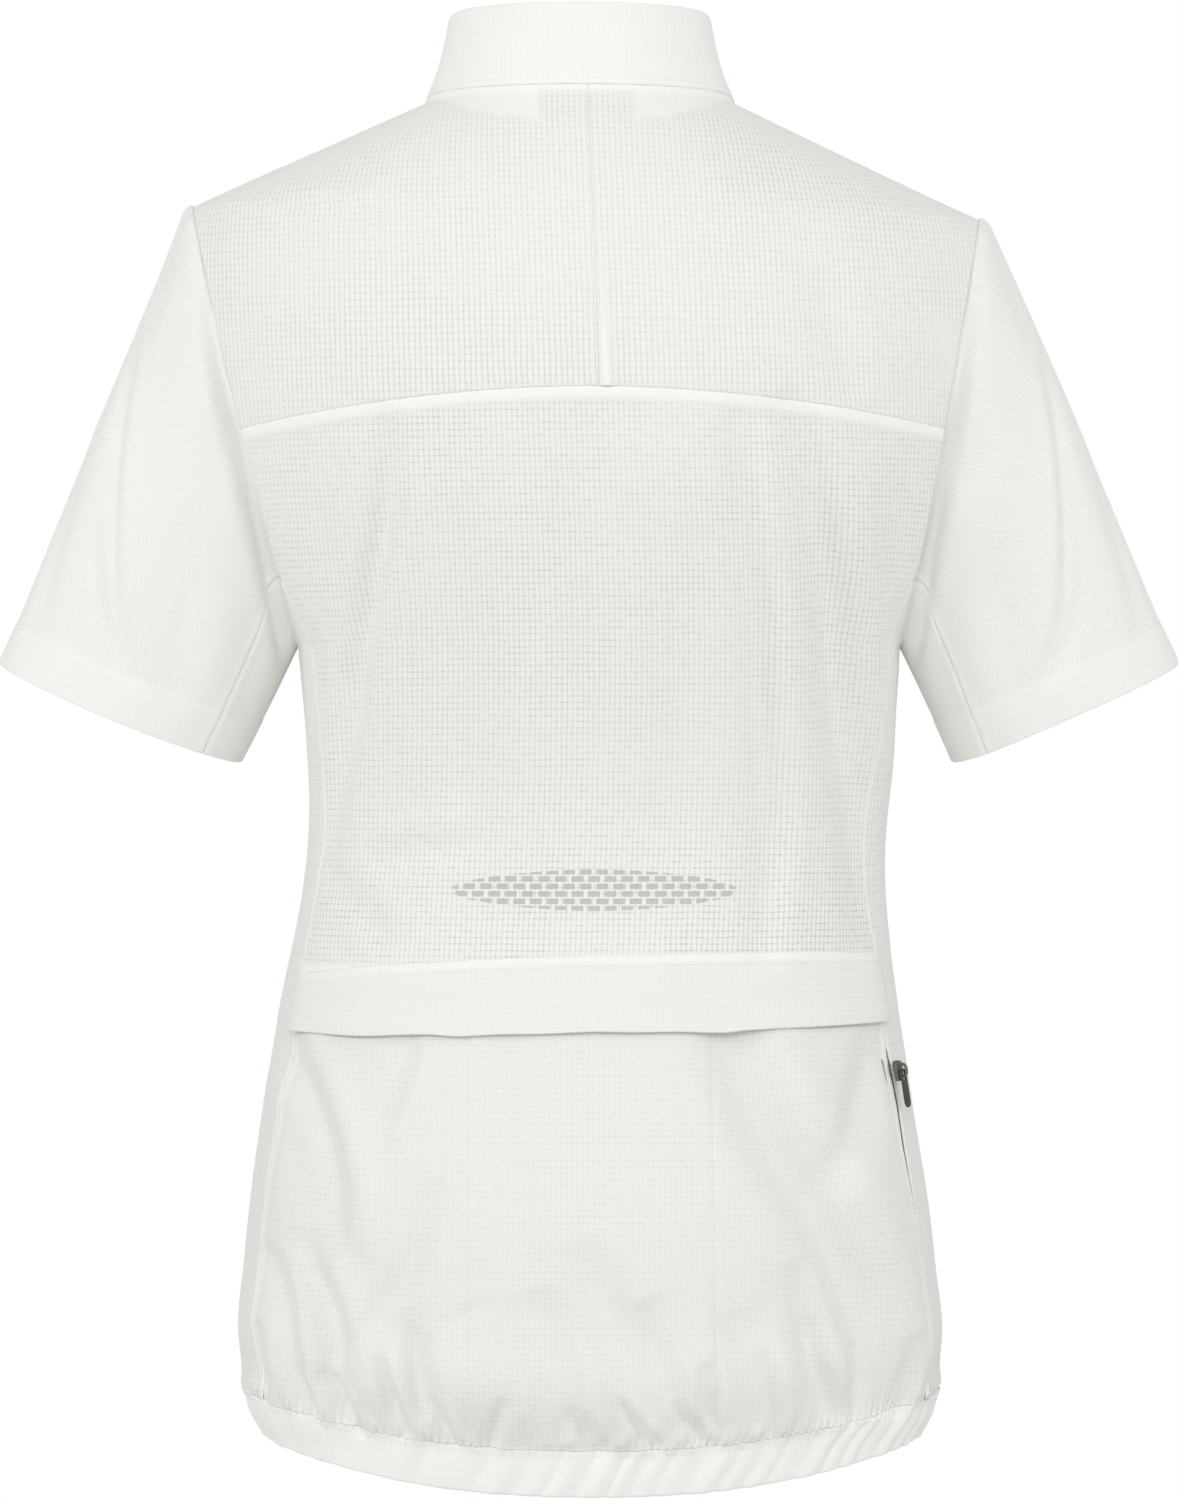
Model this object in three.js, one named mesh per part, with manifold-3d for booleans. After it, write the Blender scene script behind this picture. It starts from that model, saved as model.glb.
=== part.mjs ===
// A short-sleeved cycling jersey, filled out as if it were worn, in millimetres.
// +Z is up, the front faces -Y and the wearer's left is +X. The origin is in the middle of the
// neck, level with the points where the shoulder seams meet the collar.
// Every panel lies on one smooth form: level rings whose width and depth the tables below give.

import * as THREE from "three";
import Module from "manifold-3d";
import { mergeVertices } from "three/addons/utils/BufferGeometryUtils.js";

const wasm = await Module();
wasm.setup();

const quarter = Math.PI / 2;
const degree = Math.PI / 180;

// Cloth and seams
const wall = 1.2; // one layer of cloth with its weave and air
const casingWall = 2.4; // the elastic hem, two layers round an elastic
const gap = 0.4; // left between pieces that are sewn edge to edge
const layerGap = 0.5; // left between a panel and the piece that lies on it

// Neck, shoulders and armholes
const neckHalf = 72.5; // from the middle to the shoulder seam's end at the collar
const neckBack = 3.7; // height of the collar seam at the centre back
const neckDrop = 59; // from there down to the collar seam at the centre front
const dropPower = 4; // keeps the collar seam level until it is past the shoulders
const tips = { left: { x: 184, z: -48 }, right: { x: 184, z: -54 } };
const underarm = { x: 141.5, z: -255 };
const armholeReach = { back: 54, front: 50 }; // how far each half of an armhole stands from its middle

// Seams on the body
const yokeSeam = { middle: -138.5, drop: 16, at: 160, power: 1.85 };
const centreBack = -4; // the yoke's middle seam stands a little to the wearer's right
const sideSeam = { back: 0.94, front: 0.97 }; // share of the half width where the side panels begin
const frontOpening = 3.2; // from the centre front to each front's edge
const hem = { side: -622, backDrop: 18, frontRise: 9, power: 2.4, height: 21 };
const flap = { top: -396, bottom: -431, pocketTop: -414, sideDrop: 5 };

// Half the jersey's width, from the hem up to the underarm.
const widths = [
  { z: -645, half: 149 },
  { z: -622, half: 153 },
  { z: -610, half: 158.5 },
  { z: -595, half: 161.5 },
  { z: -560, half: 162.8 },
  { z: -520, half: 160 },
  { z: -468, half: 152.5 },
  { z: -420, half: 145 },
  { z: -374, half: 137.5 },
  { z: -338, half: 135.3 },
  { z: -303, half: 137 },
  { z: -255, half: underarm.x },
];

// How far the back and the front stand from the middle, how square the ring is (2 is an ellipse),
// and how far the whole ring stands to one side.
const depths = [
  { z: -645, back: 104, front: 88, square: 2.3, sway: -2 },
  { z: -622, back: 110, front: 93, square: 2.3, sway: -1.5 },
  { z: -600, back: 116, front: 99, square: 2.3, sway: -0.6 },
  { z: -565, back: 120, front: 103, square: 2.3, sway: 0 },
  { z: -520, back: 117, front: 103, square: 2.3, sway: 0 },
  { z: -468, back: 104, front: 100, square: 2.3, sway: 0.6 },
  { z: -420, back: 90, front: 96, square: 2.3, sway: 0 },
  { z: -374, back: 81, front: 95, square: 2.3, sway: -1.9 },
  { z: -338, back: 79, front: 98, square: 2.3, sway: -3.4 },
  { z: -303, back: 83, front: 106, square: 2.3, sway: -4.3 },
  { z: -255, back: 93, front: 119, square: 2.3, sway: -4.6 },
  { z: -210, back: 102, front: 127, square: 2.3, sway: -3.5 },
  { z: -170, back: 108, front: 124, square: 2.2, sway: -2 },
  { z: -130, back: 110, front: 112, square: 2, sway: -0.5 },
  { z: -90, back: 106, front: 90, square: 1.8, sway: 0.8 },
  { z: -56, back: 97, front: 62, square: 1.7, sway: 2.2 },
  { z: -42, back: 91, front: 53, square: 1.7, sway: 2.8 },
  { z: -16, back: 75, front: 37, square: 1.8, sway: 3.8 },
  { z: -4, back: 63.5, front: 22, square: 1.95, sway: 4.2 },
  { z: 4, back: 58, front: 14, square: 2, sway: 4.3 },
  { z: 45, back: 54, front: 14, square: 2, sway: 4.3 },
];

// The largest folds: soft troughs between two points of the front or back as seen square on.
const folds = [
  { on: "back", x0: 92, z0: -150, x1: 122, z1: -350, bow: -7, width: 15, depth: 4 },
  { on: "back", x0: -92, z0: -150, x1: -126, z1: -392, bow: 9, width: 17, depth: 4.5 },
  { on: "back", x0: -66, z0: -150, x1: -64, z1: -400, bow: 0, width: 13, depth: 2.2 },
  { on: "back", x0: -68, z0: -436, x1: -124, z1: -572, bow: 6, width: 15, depth: 5 },
  { on: "back", x0: 134, z0: -436, x1: 112, z1: -520, bow: 6, width: 13, depth: 4 },
  { on: "back", x0: 96, z0: -450, x1: 78, z1: -520, bow: -3, width: 12, depth: 2 },
  { on: "back", x0: 140, z0: -530, x1: 112, z1: -604, bow: 6, width: 11, depth: 4 },
  { on: "front", x0: 58, z0: -205, x1: 70, z1: -420, bow: 7, width: 17, depth: 4 },
  { on: "front", x0: -60, z0: -215, x1: -76, z1: -400, bow: -7, width: 16, depth: 3.5 },
  { on: "front", x0: 120, z0: -150, x1: 66, z1: -195, bow: 6, width: 13, depth: 3 },
  { on: "front", x0: -122, z0: -154, x1: -70, z1: -196, bow: -6, width: 13, depth: 3 },
  { on: "front", x0: 40, z0: -470, x1: 92, z1: -590, bow: 5, width: 15, depth: 4 },
  { on: "front", x0: -44, z0: -480, x1: -96, z1: -592, bow: -5, width: 15, depth: 4 },
];

// Materials
const cloth = (colour, roughness) =>
  new THREE.MeshStandardMaterial({ color: colour, roughness, metalness: 0, side: THREE.DoubleSide });
const meshCloth = cloth(0xe9eae4, 0.85);
const plainCloth = cloth(0xf0f1ec, 0.8);
const zipCoil = new THREE.MeshStandardMaterial({ color: 0x55584c, roughness: 0.6, metalness: 0 });
const zipMetal = new THREE.MeshStandardMaterial({ color: 0x4a4d43, roughness: 0.45, metalness: 0.6 });
const gripRubber = new THREE.MeshStandardMaterial({ color: 0x3f4239, roughness: 0.7, metalness: 0 });

const mix = (a, b, share) => a + (b - a) * share;
const clamp = (value, low, high) => Math.min(high, Math.max(low, value));
const smooth = (share) => share * share * (3 - 2 * share);

// A column of a table at a height, on a smooth curve through its rows.
function along(table, column, z) {
  const last = table.length - 1;
  if (z <= table[0].z) return table[0][column];
  if (z >= table[last].z) return table[last][column];
  const i = table.findIndex((row, k) => k < last && z <= table[k + 1].z);
  const slope = (k) => {
    const below = table[Math.max(0, k - 1)];
    const above = table[Math.min(last, k + 1)];
    return (above[column] - below[column]) / (above.z - below.z);
  };
  const span = table[i + 1].z - table[i].z;
  const t = (z - table[i].z) / span;
  const [t2, t3] = [t * t, t * t * t];
  return (
    (2 * t3 - 3 * t2 + 1) * table[i][column] +
    (t3 - 2 * t2 + t) * span * slope(i) +
    (3 * t2 - 2 * t3) * table[i + 1][column] +
    (t3 - t2) * span * slope(i + 1)
  );
}

// The height of the collar seam, turning from the centre back (0) to the centre front (pi).
function collarSeam(turn) {
  return neckBack - neckDrop * ((1 - Math.cos(turn)) / 2) ** dropPower;
}

const neckPoint = { x: neckHalf, z: collarSeam(quarter) };

// The edges on both sides of the collar seam: the yoke and fronts below it, the collar above it.
function collarSeamEdge(turn, sign) {
  const step = 0.01;
  const slope = (collarSeam(turn + step) - collarSeam(turn - step)) / (2 * step * neckHalf);
  return collarSeam(turn) + sign * (gap / 2) * Math.hypot(1, slope);
}

// Turns where panels have a column at the collar seam, from one edge to the other.
const neckColumns = { back: 6, front: 7 };
const backNeckTurns = (side) => {
  const first = Math.asin((side * centreBack) / neckHalf);
  return Array.from({ length: neckColumns.back + 1 }, (_, i) => mix(first, quarter, i / neckColumns.back));
};
const frontNeckTurns = Array.from({ length: neckColumns.front + 1 }, (_, i) =>
  mix(Math.PI - Math.asin(frontOpening / neckHalf), quarter, i / neckColumns.front),
);
const tipOf = (side) => (side > 0 ? tips.left : tips.right);

// Half the distance between the armholes at a height, and how deep an armhole's half is there.
function armholeX(side, z) {
  const tip = tipOf(side);
  return mix(underarm.x, tip.x, (z - underarm.z) / (tip.z - underarm.z));
}

function armholeDepth(side, half, z) {
  const tip = tipOf(side);
  const middle = (tip.z + underarm.z) / 2;
  const reach = (tip.z - underarm.z) / 2;
  return armholeReach[half] * Math.sqrt(Math.max(0, 1 - ((z - middle) / reach) ** 2));
}

// The form's half width. Above the underarm it is what puts the armhole's edge at its depth.
function halfWidth(side, half, z) {
  const tip = tipOf(side);
  if (z <= underarm.z) return along(widths, "half", z);
  if (z >= neckPoint.z) return neckHalf;
  if (z >= tip.z) return mix(tip.x, neckHalf, (z - tip.z) / (neckPoint.z - tip.z));
  const square = along(depths, "square", z);
  const share = armholeDepth(side, half, z) / along(depths, half, z);
  return armholeX(side, z) / (1 - share ** square) ** (1 / square);
}

// The form is where this is zero. It is below zero inside.
function formAt(p) {
  const half = p.y >= 0 ? "back" : "front";
  const square = along(depths, "square", p.z);
  const across = Math.abs(p.x) / halfWidth(Math.sign(p.x) || 1, half, p.z);
  const through = Math.abs(p.y) / along(depths, half, p.z);
  return across ** square + through ** square - 1;
}

function formNormal(p) {
  const step = 0.05;
  const [x, y, z] = ["x", "y", "z"].map((axis) => {
    const ahead = p.clone();
    const behind = p.clone();
    ahead[axis] += step;
    behind[axis] -= step;
    return formAt(ahead) - formAt(behind);
  });
  return new THREE.Vector3(x, y, z).normalize();
}

// A point of the form by its turn round a level ring, from the centre back (0) to the centre
// front (pi on the wearer's left, -pi on the right).
function ringPoint(turn, z) {
  const side = turn < 0 ? -1 : 1;
  const half = Math.abs(turn) <= quarter ? "back" : "front";
  const power = 2 / along(depths, "square", z);
  const across = Math.abs(Math.sin(turn)) ** power;
  const through = Math.abs(Math.cos(turn)) ** power;
  const x = side * halfWidth(side, half, z) * across;
  const y = along(depths, half, z) * through * (half === "back" ? 1 : -1);
  return new THREE.Vector3(x, y, z);
}

// A point of the form by how it looks square on. It keeps half a gap off the shoulder seam.
function facePoint(half, x, z) {
  const square = along(depths, "square", z);
  const across = Math.abs(x) / halfWidth(Math.sign(x) || 1, half, z);
  const through = Math.max(0, 1 - across ** square) ** (1 / square);
  const y = Math.max(gap / 2, along(depths, half, z) * through);
  return new THREE.Vector3(x, half === "back" ? y : -y, z);
}

// A point of the collar seam, on the wearer's left.
function neckRim(half, turn) {
  return facePoint(half, neckHalf * Math.sin(turn), collarSeam(turn));
}

// A point of the shoulder seam's back or front edge, from the neck (0) to the shoulder's tip (1).
function shoulderPoint(side, share, halfSign = 1) {
  const tip = tipOf(side);
  const z = mix(collarSeamEdge(quarter, -1), tip.z, share);
  return new THREE.Vector3(halfWidth(side, "back", z), (halfSign * gap) / 2, z);
}

// How far the folds push a point in. A fold fades out towards both its ends.
function foldDepth(half, x, z) {
  let depth = 0;
  for (const fold of folds) {
    if (fold.on !== half) continue;
    const [dx, dz] = [fold.x1 - fold.x0, fold.z1 - fold.z0];
    const length = Math.hypot(dx, dz);
    const share = ((x - fold.x0) * dx + (z - fold.z0) * dz) / length ** 2;
    if (share <= 0 || share >= 1) continue;
    const aside = ((x - fold.x0) * dz - (z - fold.z0) * dx) / length;
    const off = aside - fold.bow * Math.sin(Math.PI * share);
    depth += fold.depth * Math.exp(-((off / fold.width) ** 2)) * Math.sin(Math.PI * share) ** 0.7;
  }
  return depth;
}

// The whole upper body leans a little to one side, and the sleeves' ends don't.
function lean(p) {
  const fade = 1 - smooth(clamp((Math.abs(p.x) - 150) / 80, 0, 1));
  return new THREE.Vector3(p.x + along(depths, "sway", p.z) * fade, p.y, p.z);
}

// A closed wall from a grid of outer points and the way each one faces.
function wallFrom(outer, facing, thick) {
  const rows = outer.length;
  const columns = outer[0].length;
  const position = [];
  const index = [];
  const add = (p) => position.push(p.x, p.y, p.z);
  outer.forEach((row) => row.forEach((p) => add(lean(p))));
  outer.forEach((row, j) =>
    row.forEach((p, i) => add(lean(p.clone().addScaledVector(facing[j][i], -thick)))),
  );
  const back = rows * columns;
  const at = (j, i) => j * columns + i;
  const quad = (a, b, c, d) => index.push(a, b, c, a, c, d);
  for (let j = 0; j < rows - 1; j++) {
    for (let i = 0; i < columns - 1; i++) {
      quad(at(j, i), at(j, i + 1), at(j + 1, i + 1), at(j + 1, i));
      quad(back + at(j, i), back + at(j + 1, i), back + at(j + 1, i + 1), back + at(j, i + 1));
    }
  }
  for (let i = 0; i < columns - 1; i++) {
    const top = rows - 1;
    quad(at(0, i + 1), at(0, i), back + at(0, i), back + at(0, i + 1));
    quad(at(top, i), at(top, i + 1), back + at(top, i + 1), back + at(top, i));
  }
  for (let j = 0; j < rows - 1; j++) {
    const end = columns - 1;
    quad(at(j, 0), at(j + 1, 0), back + at(j + 1, 0), back + at(j, 0));
    quad(at(j + 1, end), at(j, end), back + at(j, end), back + at(j + 1, end));
  }
  const geometry = new THREE.BufferGeometry();
  geometry.setAttribute("position", new THREE.Float32BufferAttribute(position, 3));
  geometry.setIndex(index);
  return faceOut(geometry);
}

// Turns every face round where the solid came out inside out.
function faceOut(geometry) {
  const p = geometry.attributes.position;
  const index = geometry.index.array;
  const [a, b, c] = [new THREE.Vector3(), new THREE.Vector3(), new THREE.Vector3()];
  let volume = 0;
  for (let k = 0; k < index.length; k += 3) {
    a.fromBufferAttribute(p, index[k]);
    b.fromBufferAttribute(p, index[k + 1]);
    c.fromBufferAttribute(p, index[k + 2]);
    volume += a.dot(b.cross(c));
  }
  if (volume < 0) {
    for (let k = 0; k < index.length; k += 3) {
      [index[k + 1], index[k + 2]] = [index[k + 2], index[k + 1]];
    }
  }
  geometry.computeVertexNormals();
  return geometry;
}

// A grid of points of the form, moved out by a layer's height, with its folds pushed in.
function clothGrid(points, lift = 0) {
  const facing = points.map((row) => row.map(formNormal));
  const outer = points.map((row, j) =>
    row.map((p, i) => {
      const push = lift - foldDepth(p.y >= 0 ? "back" : "front", p.x, p.z);
      return p.clone().addScaledVector(facing[j][i], push);
    }),
  );
  return { outer, facing };
}

function panel(points, lift = 0, thick = wall) {
  const { outer, facing } = clothGrid(points, lift);
  return wallFrom(outer, facing, thick);
}

const root = new THREE.Group();
function piece(name, geometry, material, parent = root) {
  const mesh = new THREE.Mesh(geometry, material);
  mesh.name = name;
  parent.add(mesh);
  return mesh;
}

// Heights that run round the body
function hemBottom(turn) {
  const through = Math.abs(Math.cos(turn)) ** hem.power;
  return Math.abs(turn) <= quarter ? hem.side - hem.backDrop * through : hem.side + hem.frontRise * through;
}
const hemTop = (turn) => hemBottom(turn) + hem.height;
const flapLine = (height) => (turn) => height - flap.sideDrop * Math.sin(turn) ** 2;
const seamAcross = (x) => yokeSeam.middle - yokeSeam.drop * (Math.abs(x) / yokeSeam.at) ** yokeSeam.power;

// The turn where the back or front ends: at the side seam, or at the armhole above it.
function edgeTurn(side, half, z) {
  const power = 2 / along(depths, "square", z);
  let share = sideSeam[half];
  if (z > underarm.z) share = Math.min(share, armholeX(side, z) / halfWidth(side, half, z));
  return Math.asin(share ** (1 / power));
}

// A turn moved along its ring by a length.
function turnBy(turn, z, length) {
  const step = 0.002;
  const speed = ringPoint(turn + step, z).distanceTo(ringPoint(turn - step, z)) / (2 * step);
  return turn + length / speed;
}

// The side pocket's zip stands in the right side seam, which is wider there.
const pocketZip = { top: -446, bottom: -542, taper: 9, seamHalf: 1.5, coilHalf: 1.1, thick: 2 };
function seamHalfGap(side, half, z) {
  const inZip = z > pocketZip.bottom && z < pocketZip.top + 8;
  return side < 0 && half === "back" && inZip ? pocketZip.seamHalf : gap / 2;
}

// Back: one grid serves the back panel, the pocket on it and the flap over the pocket's mouth.
const backColumns = 22;
const backRows = { pocket: 7, mouth: 1, flap: 1, upper: 10 };

function backTurn(share, z) {
  const side = share < 0 ? -1 : 1;
  const edge = edgeTurn(side, "back", z);
  const reach = turnBy(edge, z, -seamHalfGap(side, "back", z));
  return share * reach;
}

// Where a column of the back meets the yoke seam, found by closing in on it.
function backTop(share) {
  let z = yokeSeam.middle;
  for (let k = 0; k < 6; k++) z = seamAcross(ringPoint(backTurn(share, z), z).x);
  return z - gap / 2;
}

function backGrid() {
  const rows = [];
  const shares = Array.from({ length: backColumns + 1 }, (_, i) => (2 * i) / backColumns - 1);
  const levels = [
    { count: backRows.pocket, from: (s) => hemTop(s * 1.2) + gap, to: (s) => flapLine(flap.bottom)(s * 1.2) },
    { count: backRows.mouth, from: (s) => flapLine(flap.bottom)(s * 1.2), to: (s) => flapLine(flap.pocketTop)(s * 1.2) },
    { count: backRows.flap, from: (s) => flapLine(flap.pocketTop)(s * 1.2), to: (s) => flapLine(flap.top)(s * 1.2) },
    { count: backRows.upper, from: (s) => flapLine(flap.top)(s * 1.2), to: backTop },
  ];
  levels.forEach(({ count, from, to }, k) => {
    for (let j = k ? 1 : 0; j <= count; j++) {
      rows.push(
        shares.map((share) => {
          const z = mix(from(share), to(share), j / count);
          return ringPoint(backTurn(share, z), z);
        }),
      );
    }
  });
  return rows;
}

const backPoints = backGrid();
const layer = wall + layerGap;
const flapStart = backRows.pocket;
const pocketEnd = flapStart + backRows.mouth;
const flapEnd = pocketEnd + backRows.flap;
piece("back_panel", panel(backPoints), meshCloth);
piece("back_pocket", panel(backPoints.slice(0, pocketEnd + 1), layer), plainCloth);
piece("pocket_flap", panel(backPoints.slice(flapStart, flapEnd + 1), 2 * layer), plainCloth);

// Yoke: two halves from the yoke seam up to the collar and the shoulder seam
const yokeGrid = { neck: neckColumns.back, shoulder: 7, rows: 9 };

function yokeHalf(side) {
  const columns = yokeGrid.neck + yokeGrid.shoulder;
  const start = side * centreBack + gap / 2;
  let outerZ = seamAcross(underarm.x);
  for (let k = 0; k < 6; k++) outerZ = seamAcross(armholeX(side, outerZ));
  const outerX = armholeX(side, outerZ);
  const rows = [];
  for (let j = 0; j <= yokeGrid.rows; j++) {
    const up = Math.sin((quarter * j) / yokeGrid.rows);
    const row = [];
    for (let i = 0; i <= columns; i++) {
      const lowX = mix(start, outerX - gap / 2, i / columns);
      const low = { x: lowX, z: seamAcross(lowX) + gap / 2 };
      const high = yokeTop(i, side, start);
      const p = facePoint("back", side * mix(low.x, high.x, up), mix(low.z, high.z, up));
      row.push(j < yokeGrid.rows ? p : new THREE.Vector3(side * high.x, high.y, high.z));
    }
    rows.push(row);
  }
  return rows;
}

// The yoke's upper edge: the collar seam, then the shoulder seam.
function yokeTop(i, side, start) {
  if (i > yokeGrid.neck) return shoulderPoint(side, (i - yokeGrid.neck) / yokeGrid.shoulder);
  const turn = backNeckTurns(side)[i];
  const p = neckRim("back", turn);
  return new THREE.Vector3(Math.max(start, p.x), p.y, collarSeamEdge(turn, -1));
}

// Neck facing: two half-moons inside the yoke, under the collar seam
const facing = { columns: 5, rows: 4, depth: 4.6, thick: 0.8 };

// A half-moon made of the yoke's own points, so that it follows the yoke's inside.
function neckFacing(yoke) {
  const top = yoke.length - 1 - 0.6;
  const rows = [];
  for (let j = 0; j <= facing.rows; j++) {
    const row = [];
    for (let i = 0; i <= facing.columns; i++) {
      const round = Math.sqrt(1 - 0.96 * ((2 * i) / facing.columns - 1) ** 2);
      const level = top - facing.depth * round * (1 - j / facing.rows);
      const low = Math.floor(level);
      row.push(yoke[low][i].clone().lerp(yoke[low + 1][i], level - low));
    }
    rows.push(row);
  }
  return rows;
}

for (const side of [1, -1]) {
  const name = side > 0 ? "left" : "right";
  const yoke = yokeHalf(side);
  piece(`yoke_${name}`, panel(yoke), meshCloth);
  piece(`neck_facing_${name}`, panel(neckFacing(yoke), -wall - 2 * gap, facing.thick), plainCloth);
}

// Fronts: two panels from the hem to the collar and the shoulder seam
const frontGrid = { neck: neckColumns.front, shoulder: 5, lower: 13, upper: 9, joinZ: -214 };

function frontHalf(side) {
  const columns = frontGrid.neck + frontGrid.shoulder;
  const turnAt = (share, z) => {
    const power = 2 / along(depths, "square", z);
    const inner = Math.asin((frontOpening / halfWidth(side, "front", z)) ** (1 / power));
    const outer = turnBy(edgeTurn(side, "front", z), z, -gap / 2);
    return side * (Math.PI - mix(inner, outer, share));
  };
  const rows = [];
  for (let j = 0; j <= frontGrid.lower; j++) {
    const row = [];
    for (let i = 0; i <= columns; i++) {
      const share = i / columns;
      const low = hemTop(Math.PI - share * 1.3) + gap;
      const z = mix(low, frontGrid.joinZ, j / frontGrid.lower);
      row.push(ringPoint(turnAt(share, z), z));
    }
    rows.push(row);
  }
  const join = rows[frontGrid.lower];
  for (let j = 1; j <= frontGrid.upper; j++) {
    const up = Math.sin((quarter * j) / frontGrid.upper);
    rows.push(
      join.map((low, i) => {
        const high = frontTop(i, side);
        if (j === frontGrid.upper) return new THREE.Vector3(side * high.x, high.y, high.z);
        return facePoint("front", side * mix(Math.abs(low.x), high.x, up), mix(low.z, high.z, up));
      }),
    );
  }
  return rows;
}

// A front's upper edge: the collar seam from the zip, then the shoulder seam.
function frontTop(i, side) {
  if (i > frontGrid.neck) return shoulderPoint(side, (i - frontGrid.neck) / frontGrid.shoulder, -1);
  const turn = frontNeckTurns[i];
  const p = neckRim("front", turn);
  return new THREE.Vector3(p.x, p.y, collarSeamEdge(turn, -1));
}

for (const side of [1, -1]) {
  piece(side > 0 ? "front_left" : "front_right", panel(frontHalf(side)), meshCloth);
}

// Side panels: from the hem up to the bottom of each armhole
const sideGrid = { columns: 6, rows: 17 };

function sidePanel(side) {
  const rows = [];
  for (let j = 0; j <= sideGrid.rows; j++) {
    const row = [];
    for (let i = 0; i <= sideGrid.columns; i++) {
      const share = i / sideGrid.columns;
      const turnAt = (z) => {
        const back = turnBy(edgeTurn(side, "back", z), z, seamHalfGap(side, "back", z));
        const front = turnBy(Math.PI - edgeTurn(side, "front", z), z, -gap / 2);
        return mix(back, front, share);
      };
      const z = mix(hemTop(quarter) + gap, sideTop(side, turnAt), j / sideGrid.rows);
      row.push(ringPoint(side * turnAt(z), z));
    }
    rows.push(row);
  }
  return rows;
}

// The height where a turn of the side panel meets the armhole's curve.
function sideTop(side, turnAt) {
  const tip = tipOf(side);
  const middle = (tip.z + underarm.z) / 2;
  let z = underarm.z;
  for (let k = 0; k < 12; k++) {
    const p = ringPoint(side * turnAt(Math.min(z, underarm.z)), Math.min(z, underarm.z));
    const share = Math.abs(p.y) / armholeReach[p.y >= 0 ? "back" : "front"];
    z = middle - (middle - underarm.z) * Math.sqrt(Math.max(0, 1 - share * share));
  }
  return z - gap;
}

for (const side of [1, -1]) {
  piece(side > 0 ? "side_left" : "side_right", panel(sidePanel(side)), meshCloth);
}

// Hem: an elastic casing, gathered all round, from one side of the zip to the other
const gathers = { count: 76, perGather: 4, rows: 2, height: 1.7, slant: 0.45, uneven: 0.3 };

// Turns at equal lengths round the hem, from the zip on the right to the zip on the left.
function hemTurns(count) {
  const fine = 1440;
  const z = hem.side + hem.height / 2;
  const power = 2 / along(depths, "square", z);
  const end = Math.PI - Math.asin(((frontOpening + gap) / halfWidth(1, "front", z)) ** (1 / power));
  const turns = Array.from({ length: fine + 1 }, (_, k) => mix(-end, end, k / fine));
  const lengths = [0];
  for (let k = 1; k <= fine; k++) {
    lengths.push(lengths[k - 1] + ringPoint(turns[k], z).distanceTo(ringPoint(turns[k - 1], z)));
  }
  return Array.from({ length: count + 1 }, (_, i) => {
    const wanted = (lengths[fine] * i) / count;
    const k = Math.max(1, lengths.findIndex((length) => length >= wanted - 1e-9));
    const share = (wanted - lengths[k - 1]) / (lengths[k] - lengths[k - 1]);
    return mix(turns[k - 1], turns[k], share);
  });
}

function hemBand() {
  const turns = hemTurns(gathers.count * gathers.perGather);
  const outer = [];
  const facingWay = [];
  for (let j = 0; j <= gathers.rows; j++) {
    const up = j / gathers.rows;
    const row = turns.map((turn, i) => {
      const p = ringPoint(turn, mix(hemBottom(turn), hemTop(turn), up));
      const phase = i / gathers.perGather + gathers.slant * up + gathers.uneven * Math.sin(i * 0.11);
      const rise = gathers.height * (0.5 + 0.5 * Math.cos(2 * Math.PI * phase));
      const ends = Math.min(1, i / 4, (turns.length - 1 - i) / 4);
      return { p, normal: formNormal(p), lift: rise * ends * (0.8 + 0.2 * Math.sin(i * 0.37)) };
    });
    outer.push(row.map(({ p, normal, lift }) => p.clone().addScaledVector(normal, lift + wall)));
    facingWay.push(row.map(({ normal }) => normal));
  }
  return wallFrom(outer, facingWay, casingWall);
}
piece("hem_band", hemBand(), plainCloth);

// Collar: a stand from the collar seam up, open at the zip
const collar = {
  halfTop: 61.5, backTop: 51, frontTop: 53, topBack: 41.6, topDrop: 55, rows: 3, bulge: 1.2,
};

function collarPoint(turn, up) {
  const side = turn < 0 ? -1 : 1;
  const bare = Math.abs(turn);
  const half = bare <= quarter ? "back" : "front";
  const seam = neckRim(half, bare);
  seam.set(side * seam.x, Math.abs(bare - quarter) < 1e-6 ? 0 : seam.y, collarSeamEdge(bare, 1));
  const rim = new THREE.Vector3(
    side * collar.halfTop * Math.sin(bare),
    Math.cos(bare) * (half === "back" ? collar.backTop : collar.frontTop),
    collar.topBack - collar.topDrop * ((1 - Math.cos(bare)) / 2) ** dropPower,
  );
  const away = new THREE.Vector3(Math.sin(turn), Math.cos(turn), 0);
  const waist = -collar.bulge * Math.sin(Math.PI * up);
  return seam.lerp(rim, up).addScaledVector(away, waist);
}

// The way a two-way surface faces, away from a middle point.
function surfaceNormal(surface, a, b, middle) {
  const step = 1e-3;
  const along1 = surface(a + step, b).sub(surface(a - step, b));
  const along2 = surface(a, b + step).sub(surface(a, b - step));
  const normal = along1.cross(along2).normalize();
  return normal.dot(surface(a, b).sub(middle)) < 0 ? normal.negate() : normal;
}

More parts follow.
